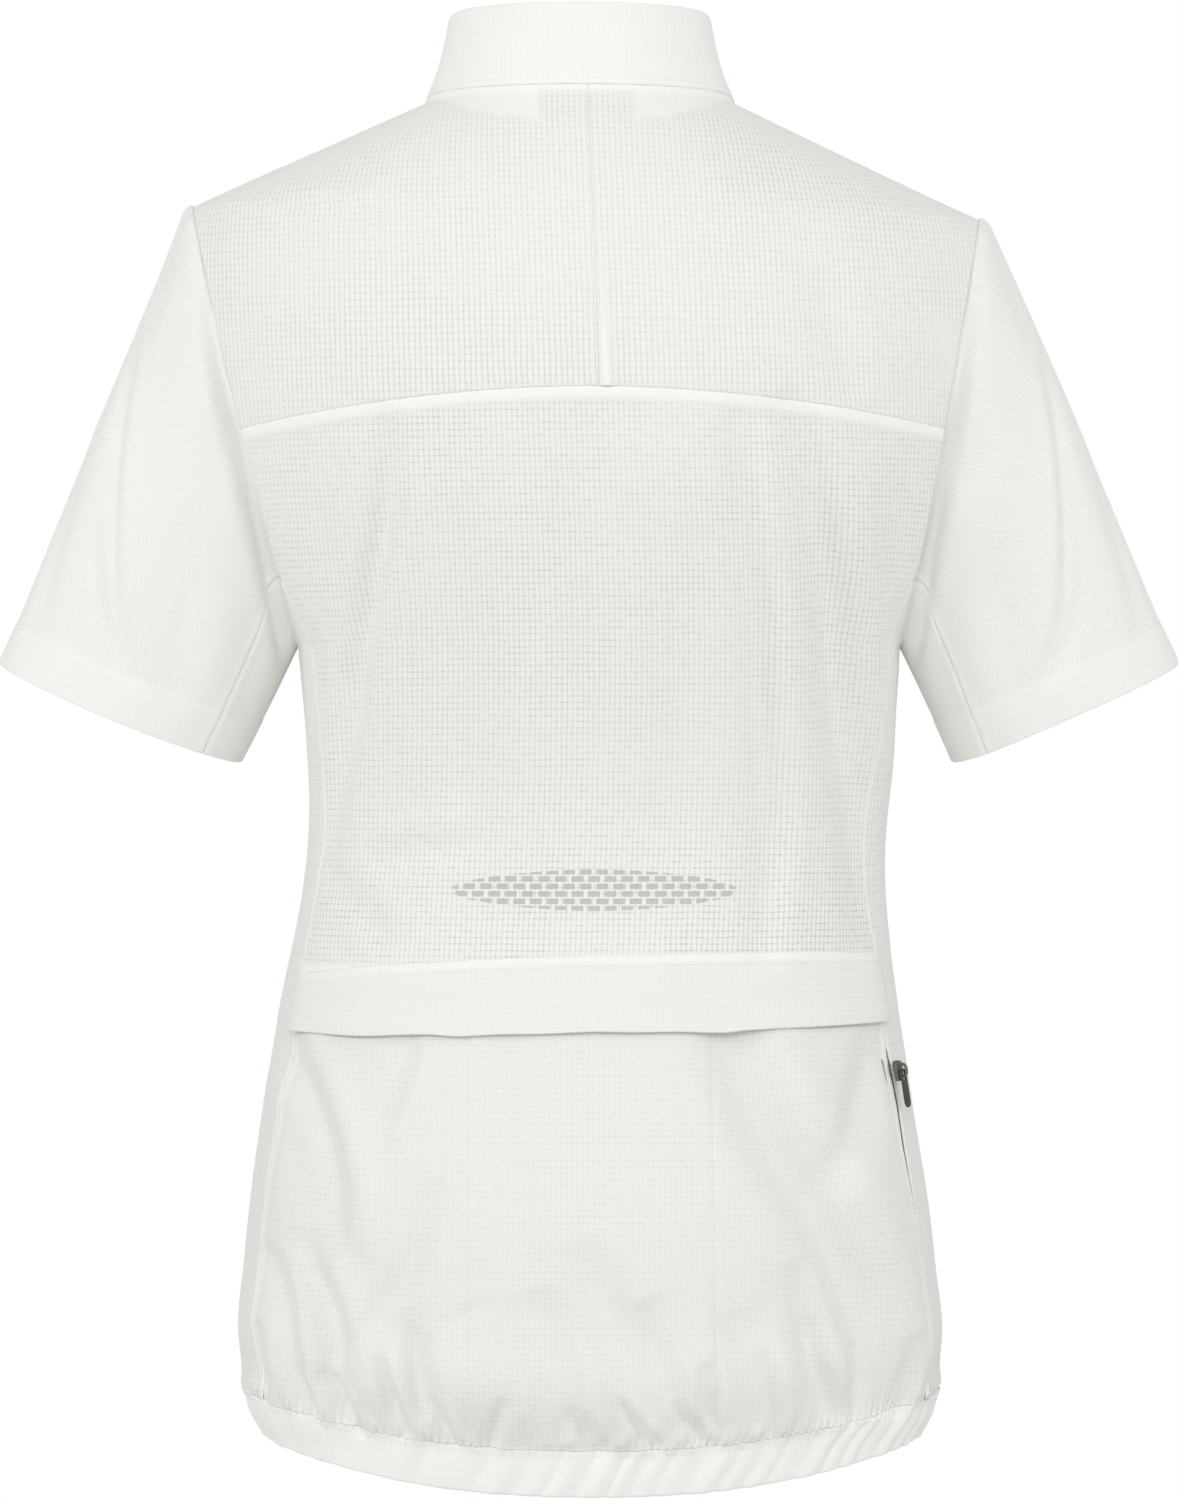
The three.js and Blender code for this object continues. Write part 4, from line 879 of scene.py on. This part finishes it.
def gatherLift(p, d, seed, sit=0.0):
    # what the elastic does to the cloth above it: puckers, folds that die out, and a bulge
    turn = turnOf(p)
    run = runOf(turn)
    ridge, carried = gatherLook["carry"]
    lift = sit * (1 - soften(d, 12)) + ridge * hemRidge(run, 1 + d / cut["hemHeight"]) * bell(d, carried, 1.3)
    for pitch, height, fade in (gatherLook["puckers"], gatherLook["folds"]):
        small = pitch < 6
        tall = fade * (0.8 + 0.55 * np.sin(run / (pitch * 1.9) + seed) * np.sin(run / (pitch * 4.7)))
        wave = unevenWave(run + gatherLook["slant"] * d, pitch, seed + pitch) ** (0.75 if small else 1)
        lift += height * wave * (1 if small else soften(d, 5)) * bell(d, tall, 1.4)
    height, at, reach = gatherLook["bulge"]
    height = height * (0.35 + 0.65 * np.abs(np.cos(turn)))
    return lift + height * (bell(d - at, reach) - bell(at, reach))


p = backSheet(hemTop, lambda share: cut["pocketTop"] + 0 * share, 1.95, 0.95)
far = edgeDistances(p)
fromSide = np.minimum(far["start"], far["end"])
lift = pocketLook["edgeLift"] + (pocketLook["lift"] - pocketLook["edgeLift"]) * soften(fromSide, 12)
gathers = gatherLift(p, far["low"], 0.4, sit=hemLook["base"] - lift)
dividers = sum(bell(p[..., 0] - x, 1.2) for x in pocketLook["dividers"]) * soften(far["high"] - 12, 6)
openAndShade = openShape(p, panelLook["pocketOpen"], {"start": 4, "end": 4, "low": 1.5})
# the puckers' crests near the hem seam are paler and show no grid: painted highlight
crestHighlight = unevenWave(runOf(turnOf(p)) + gatherLook["slant"] * far["low"], *hemLook["puckers"])
openAndShade = openAndShade * (1 - np.clip(1.6 * crestHighlight * bell(far["low"], 6), 0, 1))
finishPanel(
    "back_pocket", p, openAndShade, "pocket", {"start": "side", "end": "side", "low": "hem"},
    lift=lift + gathers - 0.5 * dividers, finer=(1.048, 1.164), fullness=1.08,
)

# the flap is turned under along its bottom edge
p = backSheet(lambda turn: flapRow(1, turn), lambda share: flapRow(0, share * 1.2), 2.0)
far = edgeDistances(p)
fromSide = np.minimum(far["start"], far["end"])
stand = curveThrough(p[..., 0], list(flapRows), [row[2] for row in flapRows.values()])
lift = pocketLook["flapLift"] + stand * (1 - soften(far["low"], 14))
lift = lift - 2.2 * (1 - soften(far["high"], 5)) - 1.6 * (1 - soften(fromSide, 9))
n = gridNormals(p)
slack = foldDepth(folds, p, ("back",)) + 0.6 * foldDepth(creases, p, ("back",))
push = lift - 0.5 * bell(far["high"] - 6, 1.1) - slack + seamShape(p, {"high": "seam"}, 0.1)
flat = grain(p)
p = p + n * push[..., None]
sewn["pocket_flap"] = (p, n)
hung, facing = turnUnder(p, n, False, 0.5, 24)
extra = len(hung) - len(p)
openAndShade = 0.15 - 0.13 * (1 - soften(far["high"] - 3, 4))
openAndShade = np.concatenate([np.full((extra, p.shape[1]), 0.3), openAndShade])
flat = [np.concatenate([np.repeat(way[:1], extra, 0), way]) for way in flat]
flat[1][:extra] -= np.linspace(extra * 1.6, 1.6, extra)[:, None]
clothMesh("pocket_flap_cloth", hung, facing, openAndShade, "pocket", "pocket_flap", flat)
print("back and pocket ready")


def evenRows(p, shares):
    # the same surface with its rows at even lengths along each column
    v = arcs(p)[1]
    v = v / v[-1:]
    return np.stack([interpEach(shares, v[:, i], p[:, i]) for i in range(p.shape[1])], 1)


def shoulderPoint(side, share, front):
    z = neckZ + (tipOf(side)[1] - neckZ) * share
    x = side * halfWidth(side, True, z)
    return np.stack([x, np.full_like(x, -0.01 if front else 0.01), z], -1)


def upperEdge(side, back, t, neckShare, firstX):
    # the collar seam from the middle to the shoulder, then the shoulder seam out to its tip
    first = math.asin(firstX / cut["neckHalf"])
    turn = first + (quarter - first) * np.clip(t / neckShare, 0, 1)
    rim = facePoint(back, side * cut["neckHalf"] * np.sin(turn), collarSeam(turn if back else math.pi - turn))
    tip = shoulderPoint(side, np.clip((t - neckShare) / (1 - neckShare), 0, 1), not back)
    return np.where((t > neckShare)[:, None], tip, rim)


# Yoke: two halves up to the collar and the shoulder seams
neckMoon = {"neckShare": 6 / 13, "from": 0.085, "to": 0.35, "deep": 25}


def yokeSheet(side, cell):
    start = side * cut["centreBack"]
    outerZ = np.array(-150.0)
    for _ in range(8):
        outerZ = yokeSeam(armholeX(side, outerZ))
    outerX = float(armholeX(side, outerZ))
    t = np.sort(np.append(spread(165, cell), neckMoon["neckShare"]))
    lowX = start + (outerX - start) * t
    high = upperEdge(side, True, t, neckMoon["neckShare"], start)
    up = np.sin(quarter * np.linspace(0, 1, 160))[:, None]
    x = lowX + (np.abs(high[:, 0]) * np.sign(high[:, 0] * side) - lowX) * up
    z = yokeSeam(lowX) + (high[:, 2] - yokeSeam(lowX)) * up
    p = facePoint(True, side * x, z)
    p[-1] = high
    return evenRows(p, spread(150, cell)), t


for side, name in ((1, "left"), (-1, "right")):
    p, t = yokeSheet(side, panelLook["cell"])
    across = (t - neckMoon["from"]) / (neckMoon["to"] - neckMoon["from"])
    moon = np.where(across > 0, np.clip(1 - np.abs(across) ** 1.7, 0, 1) ** 0.6, 0) * neckMoon["deep"]
    far = edgeDistances(p)
    doubled = 1 - soften(far["high"] - moon + 0.5, 1)
    openAndShade = openShape(p, panelLook["yokeOpen"], {"low": 0.6, "high": 4, "start": 0.6, "end": 0.8})
    openAndShade = openAndShade * (1 - 0.92 * doubled)
    lift = 0.12 * (1 - doubled) * soften(far["low"], 3)
    if side < 0:  # the middle seam's allowance shows as a ridge near the yoke seam
        pressed = bell(far["start"] - 3, 2.6) * (1 - soften(far["low"] - 8, 70)) ** 0.8
        lift = lift + 0.9 * pressed
        openAndShade = openAndShade * (1 - np.minimum(1.2 * pressed, 1))
        # and the grid is fainter in a patch beside the armhole
        x, z = p[..., 0], p[..., 2]
        aside = soften(x + 178, 9) * (1 - soften(x + 163, 11))
        aside = aside * soften(z + 140, 9) * (1 - soften(z + 112, 16))
        openAndShade = openAndShade * (1 - 0.6 * aside)
    edges = {"low": "over", "high": "bare", "start": "over", "end": "bare"}
    finishPanel(f"yoke_{name}", p, openAndShade, "mesh", edges, lift=lift)
    # the neck facing lies against its inside
    p, n = sewn[f"yoke_{name}"]
    columns = np.nonzero(moon > 3.2)[0]
    depth = 3 + (moon[columns] - 3) * (1 - np.linspace(0, 1, 10)[:, None])
    rim = far["high"][::-1]
    grid, facing = [
        np.stack([interpEach(depth[:, i], rim[:, k], sheet[::-1, k]) for i, k in enumerate(columns)], 1)
        for sheet in (p - n * 1.3, n)
    ]
    clothMesh(f"neck_facing_{name}_cloth", grid, facing, 0.15, "plain", f"neck_facing_{name}")


# Fronts: from the zip to the side panels, and up to the collar and the shoulder seams
frontCut = {"neckShare": 7 / 12, "joinZ": -214}


def frontSheet(side, cell):
    t = np.sort(np.append(spread(225, cell), frontCut["neckShare"]))

    def turnAt(z):
        inner = np.arcsin((cut["frontOpening"] / halfWidth(side, False, z)) ** (squareAt(z) / 2))
        return side * (math.pi - (inner + (edgeTurn(float(side), False, z) - inner) * t))

    bottom = hemTop(math.pi - t * 1.3)
    lower = []
    for share in np.linspace(0, 1, 150):
        z = bottom + (frontCut["joinZ"] - bottom) * share
        lower.append(ringPoint(turnAt(z), z))
    low = lower[-1]
    high = upperEdge(side, False, t, frontCut["neckShare"], cut["frontOpening"])
    up = np.sin(quarter * np.linspace(0, 1, 120))[1:, None]
    x = np.abs(low[:, 0]) + (np.abs(high[:, 0]) - np.abs(low[:, 0])) * up
    z = low[:, 2] + (high[:, 2] - low[:, 2]) * up
    upper = facePoint(False, side * x, z)
    upper[-1] = high
    return evenRows(np.concatenate([np.stack(lower), upper]), spread(640, cell))


for side, name in ((1, "left"), (-1, "right")):
    p = easeBend(frontSheet(side, panelLook["hiddenCell"]))
    openAndShade = openShape(p, panelLook["frontOpen"], {"low": 1.5, "high": 5, "start": 11, "end": 1})
    gathers = gatherLift(p, edgeDistances(p)["low"], 1.9 + side, sit=hemLook["base"])
    edges = {"low": "bare", "high": "seam", "end": "bare"}
    finishPanel(f"front_{name}", p, openAndShade, "mesh", edges, lift=gathers)


# Side panels, from the hem up to the bottom of each armhole
def sideSheet(side, cell):
    share = spread(60, cell)

    def turnAt(z):
        back = edgeTurn(float(side), True, z) + (zipParting(z) / 130 if side < 0 else 0)
        front = math.pi - edgeTurn(float(side), False, z)
        return side * (back + (front - back) * share)

    middle = (tipOf(side)[1] + cut["underarm"][1]) / 2
    top = np.full(len(share), float(cut["underarm"][1]))
    for _ in range(12):
        p = ringPoint(turnAt(np.minimum(top, cut["underarm"][1])), np.minimum(top, cut["underarm"][1]))
        deep = np.where(p[:, 1] >= 0, cut["armholeBack"], cut["armholeFront"])
        reach = np.sqrt(np.maximum(0, 1 - (np.abs(p[:, 1]) / deep) ** 2))
        top = middle - (middle - cut["underarm"][1]) * reach
    bottom = hemTop(turnAt(np.full(len(share), -605.0)))
    rows = spread(350, cell)[:, None]
    z = bottom + (top - bottom) * rows
    return ringPoint(np.stack([turnAt(level) for level in z]), z)


for side, name in ((1, "left"), (-1, "right")):
    p = sideSheet(side, panelLook["cell"])
    openAndShade = openShape(p, panelLook["sideOpen"], {"low": 1.5, "high": 2, "start": 1.6, "end": 1.6})
    gathers = gatherLift(p, edgeDistances(p)["low"], 3.1 + side, sit=hemLook["base"])
    edges = {"low": "bare", "high": "bare", "start": "side", "end": "side"}
    finishPanel(f"side_{name}", p, openAndShade, "mesh", edges, lift=gathers)
print("yoke, fronts and sides ready")

# Hem: an elastic in a folded casing, which gathers it all round
up = np.array([0, 0.03, 0.08, 0.15, 0.23, 0.31, 0.39, 0.47, 0.55, 0.63, 0.71, 0.79, 0.86, 0.92, 0.96, 1])
up = up[:, None]
turn = np.interp(np.linspace(3.6, hemRun[-1] - 3.6, hemLook["count"] + 1), hemRun, hemTurns)
z = hemBottom(turn) + cut["hemHeight"] * up
p = ringPoint(np.broadcast_to(turn, z.shape), z)
n = gridNormals(p)
run = np.broadcast_to(runOf(turn), z.shape)
fromTop = edgeDistances(p)["high"]
lowest = gatherLook["carry"][0]
lift = lowest + (hemLook["height"] - lowest) * np.sin(math.pi * up) ** 0.7
lift = hemLook["base"] + lift * hemRidge(run, up)
lift = lift + 2.1 * unevenWave(run, *hemLook["puckers"]) ** 0.75 * bell(fromTop, 2.4, 1.3)
lift = lift - foldDepth(folds, p) - foldDepth(creases, p) - 0.1 * bell(fromTop - 3, 0.8)
p = p + n * lift[..., None]
sewn["hem_band"] = (p, n)
band, facing = turnUnder(p, n, False, hemLook["fold"], 19)
clothMesh("hem_band_cloth", band, facing, 0.05, "band", "hem_band", fullness=1.12)

# Collar: a stand of two layers, turned over along its top
collarCut = {"halfTop": 61.5, "backTop": 51, "frontTop": 53, "topBack": 41.6, "topDrop": 55, "bulge": 1.2}


def collarPoint(turn, up):
    bare = np.abs(turn)
    back = bare <= quarter
    x = cut["neckHalf"] * np.sin(bare)
    seamZ = collarSeam(bare)
    seam = np.where(back[..., None], facePoint(True, x, seamZ), facePoint(False, x, seamZ))
    seam[..., 0] = x * np.sign(turn)
    rim = np.stack([
        np.sign(turn) * collarCut["halfTop"] * np.sin(bare),
        np.cos(bare) * np.where(back, collarCut["backTop"], collarCut["frontTop"]),
        collarCut["topBack"] - collarCut["topDrop"] * ((1 - np.cos(bare)) / 2) ** cut["dropPower"],
    ], -1)
    away = np.stack([np.sin(turn), np.cos(turn), 0 * turn], -1)
    return seam + (rim - seam) * up[..., None] - collarCut["bulge"] * np.sin(math.pi * up)[..., None] * away


end = math.pi - math.asin(cut["frontOpening"] / cut["neckHalf"])
up = [0, 0.02, 0.05, 0.1, 0.16, 0.24, 0.33, 0.43, 0.53, 0.63, 0.73, 0.82, 0.9, 0.95, 0.98, 1]
p = collarPoint(*np.meshgrid(np.linspace(-end, end, 150), up))
n = gridNormals(p)
far = edgeDistances(p)
u, v = far["start"], far["low"]
lift = 0.25 - 0.12 * bell(v, 1.4) - 0.1 * bell(v - 3.2, 0.9) + 0.3 * np.sin(u / 31 + 1) * np.sin(v / 12)
lift = lift + 0.16 * np.sin(u / 2.7 + np.sin(u / 9)) * bell(v - 4, 5)
p = p + n * lift[..., None]
sewn["collar"] = (p, n)
turned, facing = turnUnder(p, n, True, 0.9, 36)
clothMesh("collar_cloth", turned, facing, 0.2, "plain", "collar")
print("hem and collar ready")

# Sleeves: each a tube from its armhole to a turned hem, with a plain panel underneath
sleeveCut = {
    "x": 222.6, "y": -12, "z": -284.4, "across": 59.8, "through": 46, "swing": 23.2, "forward": 4.5,
    "from": 135, "cap": 5.8, "capEnd": 0.04, "hem": 22,
}
# turn in degrees, from and to as shares of the way down, width in degrees, depth in millimetres,
# and how many degrees the fold turns over its length
sleeveFolds = [
    (54, 0.26, 0.88, 7.5, 5.5, 76), (50, 0.06, 0.46, 18, 1.7, 20), (20, 0, 0.3, 9, 2, 14),
    (84, 0.05, 0.3, 10, 1.6, -16), (102, 0.35, 0.9, 12, 2.4, 14), (28, 0.5, 0.95, 9, 1.8, 30),
    (2, 0.5, 0.98, 11, 1.6, 8), (-52, 0.22, 0.85, 9, 4.6, -60), (-40, 0.08, 0.45, 12, 2.4, -16),
    (-104, 0.35, 0.85, 12, 2.2, -10),
]


def armholePoint(side, turn):
    tipX, tipZ = tipOf(side)
    underZ = cut["underarm"][1]
    z = (tipZ + underZ) / 2 + (tipZ - underZ) / 2 * np.cos(turn)
    back = np.sin(turn) >= 0
    y = armholeDepth(side, back, z) * np.where(back, 1, -1)
    return np.stack([side * armholeX(side, z), y, z], -1)


def cuffPoint(side, turn):
    swing, forward = math.radians(sleeveCut["swing"]), math.radians(sleeveCut["forward"])
    out = np.array([side * math.cos(swing), 0, math.sin(swing)])
    rear = np.array([
        side * math.sin(swing) * math.sin(forward), math.cos(forward), -math.cos(swing) * math.sin(forward)
    ])
    centre = np.array([side * sleeveCut["x"], sleeveCut["y"], sleeveCut["z"]])
    c, s = [np.sign(v) * np.abs(v) ** 0.86 for v in (np.cos(turn), np.sin(turn))]
    return centre + out * sleeveCut["across"] * c[..., None] + rear * sleeveCut["through"] * s[..., None]


def sleeveSheet(side, turns, downs):
    turn, down = np.meshgrid(turns, downs)
    p = armholePoint(side, turn) * (1 - down[..., None]) + cuffPoint(side, turn) * down[..., None]
    start = np.array([side * 160, 0, -150])
    end = np.array([side * sleeveCut["x"], sleeveCut["y"], sleeveCut["z"]])
    axis = start + (end - start) * down[..., None]
    push = sleeveCut["cap"] * np.maximum(0, np.cos(turn)) * np.minimum(1, down / sleeveCut["capEnd"]) ** 0.5
    push = push * (1 - down)
    for place, low, high, wide, deep, slant in sleeveFolds:
        share = np.clip((down - low) / (high - low), 0, 1)
        off = (np.degrees(turn) - place - slant * (share - 0.5)) / wide
        push = push - deep * (bell(off, 1) - 0.35 * bell(off - 1.7, 1)) * np.sin(math.pi * share) ** 0.8
    return p + unit(p - axis) * push[..., None], axis


def formNormal(p):
    # the way the body's form faces at points on it
    def level(q):
        x, y, z = np.moveaxis(q, -1, 0)
        back = y >= 0
        across, through = np.abs(x) / halfWidth(sideOf(x), back, z), np.abs(y) / depthAt(back, z)
        return across ** squareAt(z) + through ** squareAt(z)

    return unit(np.stack([level(p + step) - level(p - step) for step in np.eye(3) * 0.05], -1))


for side, name in ((1, "left"), (-1, "right")):
    reach = math.radians(sleeveCut["from"])
    for part, low, high, wide, finish in (
        ("sleeve", -reach, reach, 250, "sleeve"),
        ("under_sleeve", reach, 2 * math.pi - reach, 90, "plain"),
    ):
        turns = low + (high - low) * spread(wide, panelLook["cell"])
        p, axis = sleeveSheet(side, turns, spread(190, panelLook["cell"]))
        # rows run up from the cuff, so that the cloth's lengths are level at the hem
        p, axis = p[::-1], axis[::-1]
        n = gridNormals(p, axis)
        far = edgeDistances(p)
        hemLine = far["low"] - sleeveCut["hem"]
        lift = seamShape(p, {"start": "side", "end": "side"}, 0.14)
        lift += 0.35 * (1 - soften(hemLine + 1, 2)) - 0.3 * bell(hemLine, 0.9)
        # along the armhole it dips with the body's edge, and its allowance goes in under the body
        edge = p[-1].copy()
        body = formNormal(edge)
        under = np.cross(unit(np.gradient(edge, axis=0)), body)
        under *= -np.sign((under * ([edge[:, 0].mean(), 0, -151] - edge)).sum(1, keepdims=True))
        bare = np.abs(np.degrees((turns + math.pi) % (2 * math.pi) - math.pi))
        lowerPart = soften(bare - 30, 60) * (1 - soften(bare - 150, 24))
        dip = (0.15 + 1.45 * lowerPart) * bell(far["high"], 2.5)
        head = (1 - soften(bare - 20, 30)) * bell(far["high"], 26) * soften(far["high"], 4)
        lift += 0.7 * head * np.sin(np.degrees(turns) / 3.1 + 1) - 7.5 * lowerPart * bell(far["high"] - 6, 8)
        p = p + n * lift[..., None] - body * dip[..., None]
        node = f"{part}_{name}"
        sewn[node] = (p, n)
        tucked = [edge + under * across - body * deep for across, deep in ((0.5, 1.5), (2, 1.8), (5, 2.0))]
        p, n = np.concatenate([p, tucked]), np.concatenate([n, [body] * 3])
        hemLine = edgeDistances(p)["low"] - sleeveCut["hem"]
        level = panelLook["sleeveOpen" if part == "sleeve" else "underSleeveOpen"]
        openAndShade = openShape(p, level, {"high": 6, "start": 4, "end": 4}) * (0.35 + 0.65 * soften(hemLine, 1))
        hemmed, facing = turnUnder(p, n, False, 0.45, sleeveCut["hem"])
        openAndShade = np.concatenate([np.full((len(hemmed) - len(p), p.shape[1]), 0.1), openAndShade])
        clothMesh(f"{node}_cloth", hemmed, facing, openAndShade, finish, node)
print("sleeves ready")

# Zips: woven tapes with interlocked teeth, and copies of the solid sliders and pull tabs
zipLook = {"pitch": 1.5, "tooth": (1.7, 0.82, 1.2)}


def hardCopy(name, node, finish, body, bevel):
    # a solid's copy with its hard edges rounded
    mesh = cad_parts[node].data.copy()
    bm = bmesh.new()
    bm.from_mesh(mesh)
    bmesh.ops.remove_doubles(bm, verts=bm.verts, dist=1e-6)
    bmesh.ops.dissolve_limit(bm, angle_limit=math.radians(2), verts=bm.verts, edges=bm.edges)
    sharp = [e for e in bm.edges if len(e.link_faces) == 2 and e.calc_face_angle(0) > math.radians(35)]
    bmesh.ops.bevel(
        bm, geom=sharp, offset=bevel * metre, segments=2, profile=0.5, affect="EDGES", material=-1,
        clamp_overlap=True,
    )
    bm.to_mesh(mesh)
    bm.free()
    piece = newPiece(name, mesh, finish, body)
    mesh.set_sharp_from_angle(angle=math.radians(38))
    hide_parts(node)


def alongPath(points, normals, step):
    # places at even steps: point, way along, way across and way out
    run = runAlong(points)
    at = np.arange(step / 2, run[-1], step)
    p, out = interpEach(at, run, points), interpEach(at, run, normals)
    along = unit(np.gradient(p, axis=0))
    out = unit(out - along * (out * along).sum(1, keepdims=True))
    return p, along, np.cross(along, out), out


def repeatShape(name, base, places, size, finish):
    # copies of one small shape at many places on the cloth, as one mesh
    p, along, across, out = places
    base.verts.index_update()
    verts = np.array([vert.co for vert in base.verts]) * size
    faces = [[vert.index for vert in face.verts] for face in base.faces]
    base.free()
    axes = np.stack([across, along, out], 1)
    placed = (lean(p)[:, None] + np.einsum("vk,pkj->pvj", verts, axes)).reshape(-1, 3) * metre
    whole = [[first + k for k in face] for first in range(0, len(placed), len(verts)) for face in faces]
    mesh = bpy.data.meshes.new(name)
    mesh.from_pydata(placed, [], whole)
    return newPiece(name, mesh, finish)


def buildZip(key, path, normals, half, sink, scale, teethLift):
    # the tape, the teeth on it, the slider and its pull tab
    p, along, across, out = alongPath(path, normals, 3)
    aside = np.multiply.outer(np.broadcast_to(half, len(p)), [-1, -0.6, -0.2, 0.2, 0.6, 1])[..., None]
    grid = p[:, None] + across[:, None] * aside - out[:, None] * sink
    facing = np.broadcast_to(out[:, None], grid.shape)
    clothMesh(f"{key}_zip_tape", grid, facing, 0.2, "tape", f"{key}_zip_coil", thickness=0.4)

    p, along, across, out = alongPath(path, normals, zipLook["pitch"] * scale)
    aside = np.where(np.arange(len(p)) % 2, 0.55, -0.55)[:, None] * scale
    tooth = bmesh.new()
    bmesh.ops.create_cube(tooth, size=1)
    bmesh.ops.bevel(
        tooth, geom=tooth.edges[:], offset=0.18, segments=1, profile=0.5, affect="EDGES", material=-1
    )
    places = (p + across * aside + out * teethLift, along, across, out)
    teeth = repeatShape(f"{key}_zip_teeth", tooth, places, np.array(zipLook["tooth"]) * scale, "coil")
    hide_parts(f"{key}_zip_coil")
    hardCopy(f"{key}_zip_slider_body", f"{key}_zip_slider", "metal", "jersey", 0.3)
    hardCopy(f"{key}_zip_pull", f"{key}_zip_tab", "grip", f"{key}_tab", 0.28)


# front zip: up the middle of the front, then up the collar
z = np.linspace(float(hemBottom(math.pi)) + 3, float(collarSeam(math.pi)), 160)
rise = collarPoint(np.full(20, math.pi), np.linspace(0.02, 0.97, 20)) * [0, 1, 1]
path = np.concatenate([facePoint(False, 0 * z, z), rise])
way = np.gradient(path, axis=0)
normals = unit(np.stack([0 * way[:, 0], -np.abs(way[:, 2]), way[:, 1] * np.sign(way[:, 2])], -1))
height = alongPath(path, normals, 3)[0][:, 2]
buildZip("front", path, normals, 11 - 5.8 * soften(height + 80, 20), 1.0, 1.0, 0.1)

# pocket zip: down the right side seam
pocketZip = {"top": -446, "bottom": -542, "tapeHalf": 6}
z = np.linspace(pocketZip["bottom"], pocketZip["top"], 60)
path = ringPoint(-edgeTurn(-1.0, True, z), z)
normals = unit(path * [1, 1, 0])
path = path - normals * foldDepth(folds, path)[:, None]
buildZip("pocket", path, normals, pocketZip["tapeHalf"], 1.7, 0.72, -0.6)
print("zips ready")

# Stitches along the seams, each a thread's short end-rounded bar
stitchLook = {"pitch": 2.7, "size": (0.2, 1.0, 0.16), "sink": 0.02}


def seamLine(node, edge, distance):
    # the line at a distance from a panel's edge, as points and the way the cloth faces there
    p, n = sewn[node]
    far = edgeDistances(p)[edge]
    if edge in ("start", "end"):
        p, n, far = p.transpose(1, 0, 2), n.transpose(1, 0, 2), far.T
    if edge in ("end", "high"):
        p, n, far = p[::-1], n[::-1], far[::-1]
    columns = range(p.shape[1])
    return [np.stack([interpEach(distance, far[:, i], sheet[:, i]) for i in columns]) for sheet in (p, n)]


def crossLine(node, x, low, high):
    # the line on a panel where it passes a sideways place, between two heights
    rows = [pair for pair in zip(*sewn[node]) if low < pair[0][:, 2].mean() < high]
    return [np.stack([interpEach(x, pair[0][:, 0], pair[k]) for pair in rows]) for k in (0, 1)]


def sew(name, lines):
    thread = bmesh.new()
    bmesh.ops.create_uvsphere(thread, u_segments=6, v_segments=4, radius=1)
    runs = [alongPath(points, normals, stitchLook["pitch"]) for points, normals in lines]
    p, along, across, out = [np.concatenate(part) for part in zip(*runs)]
    places = (p + out * stitchLook["sink"], along, across, out)
    repeatShape(f"{name}_stitches", thread, places, np.array(stitchLook["size"]), "thread")


sew("back_seam", [seamLine("back_panel", "high", 6.5)])
sew("flap", [seamLine("pocket_flap", "high", 6)])
sew("pocket", [crossLine("back_pocket", x, -596, -436) for x in pocketLook["dividers"]])
sew("hem", [seamLine("hem_band", "high", 3)])
sew("collar", [seamLine("collar", "low", 3.2)])
for name in ("left", "right"):
    for part, slot in (("sleeve", "mesh_cloth"), ("under_sleeve", "plain_cloth")):
        sew(f"{part}_{name}", [seamLine(f"{part}_{name}", "low", sleeveCut["hem"])])
    sew(f"front_{name}", [seamLine(f"front_{name}", "start", d) for d in (2.2, 7.5)])
print("stitches ready")

# Studio: a pale floor far below, a white surround and large soft lights behind the camera
studio = {
    "camera": (0, 2.8, -0.303), "lens": 142.98, "floorZ": -1.25, "floorHalf": 2.6, "surround": 0.54,
    "lamps": {
        "top": {"at": (0, 1.3, 2.1), "size": 1.2, "power": 3},
        "front": {"at": (0.3, 2.95, 0.6), "size": 1.2, "power": 23.5},
        "left": {"at": (2.6, 1.4, 0.7), "size": 1.1, "power": 19},
        "right": {"at": (-2.6, 1.4, 0.9), "size": 1.1, "power": 20},
    },
}
scene = bpy.context.scene
scene.view_settings.view_transform = "Standard"
world = bpy.data.worlds.new("surround")
world.use_nodes = True
scene.world = world
tree = world.node_tree
tree.nodes.clear()
seen = addNode(tree, "ShaderNodeBackground", {"Color": (1, 1, 1, 1), "Strength": 1.0})
lighting = addNode(tree, "ShaderNodeBackground", {"Color": (1, 1, 1, 1), "Strength": studio["surround"]})
rays = addNode(tree, "ShaderNodeLightPath")
shown = {0: rays.outputs["Is Camera Ray"], 1: lighting.outputs[0], 2: seen.outputs[0]}
both = addNode(tree, "ShaderNodeMixShader", shown)
addNode(tree, "ShaderNodeOutputWorld", {"Surface": both.outputs[0]})

for name, look in studio["lamps"].items():
    light = bpy.data.lights.new(name, "AREA")
    light.size = look["size"]
    light.energy = look["power"]
    lamp = bpy.data.objects.new(name, light)
    lamp.location = look["at"]
    lamp.rotation_euler = (Vector((0, 0, -0.3)) - lamp.location).to_track_quat("-Z", "Y").to_euler()
    scene.collection.objects.link(lamp)

bpy.ops.mesh.primitive_grid_add(
    x_subdivisions=8, y_subdivisions=8, size=2 * studio["floorHalf"], location=(0, 0, studio["floorZ"])
)
floor = bpy.context.object
floor.name = "studio_floor"
floorPaint = hardMaterial("floorPaint", (0.78, 0.78, 0.77), 0.7, 0, 260)
floor.data.materials.append(floorPaint)

camera = bpy.data.objects.new("camera", bpy.data.cameras.new("camera"))
camera.data.lens = studio["lens"]
camera.data.sensor_width = 36
camera.location = studio["camera"]
camera.rotation_euler = (quarter, 0, math.pi)
scene.collection.objects.link(camera)
scene.camera = camera

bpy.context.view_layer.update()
for name, size in cutSizes.items():
    print("cut", name, size["flat"], size["area"])
print("studio ready")
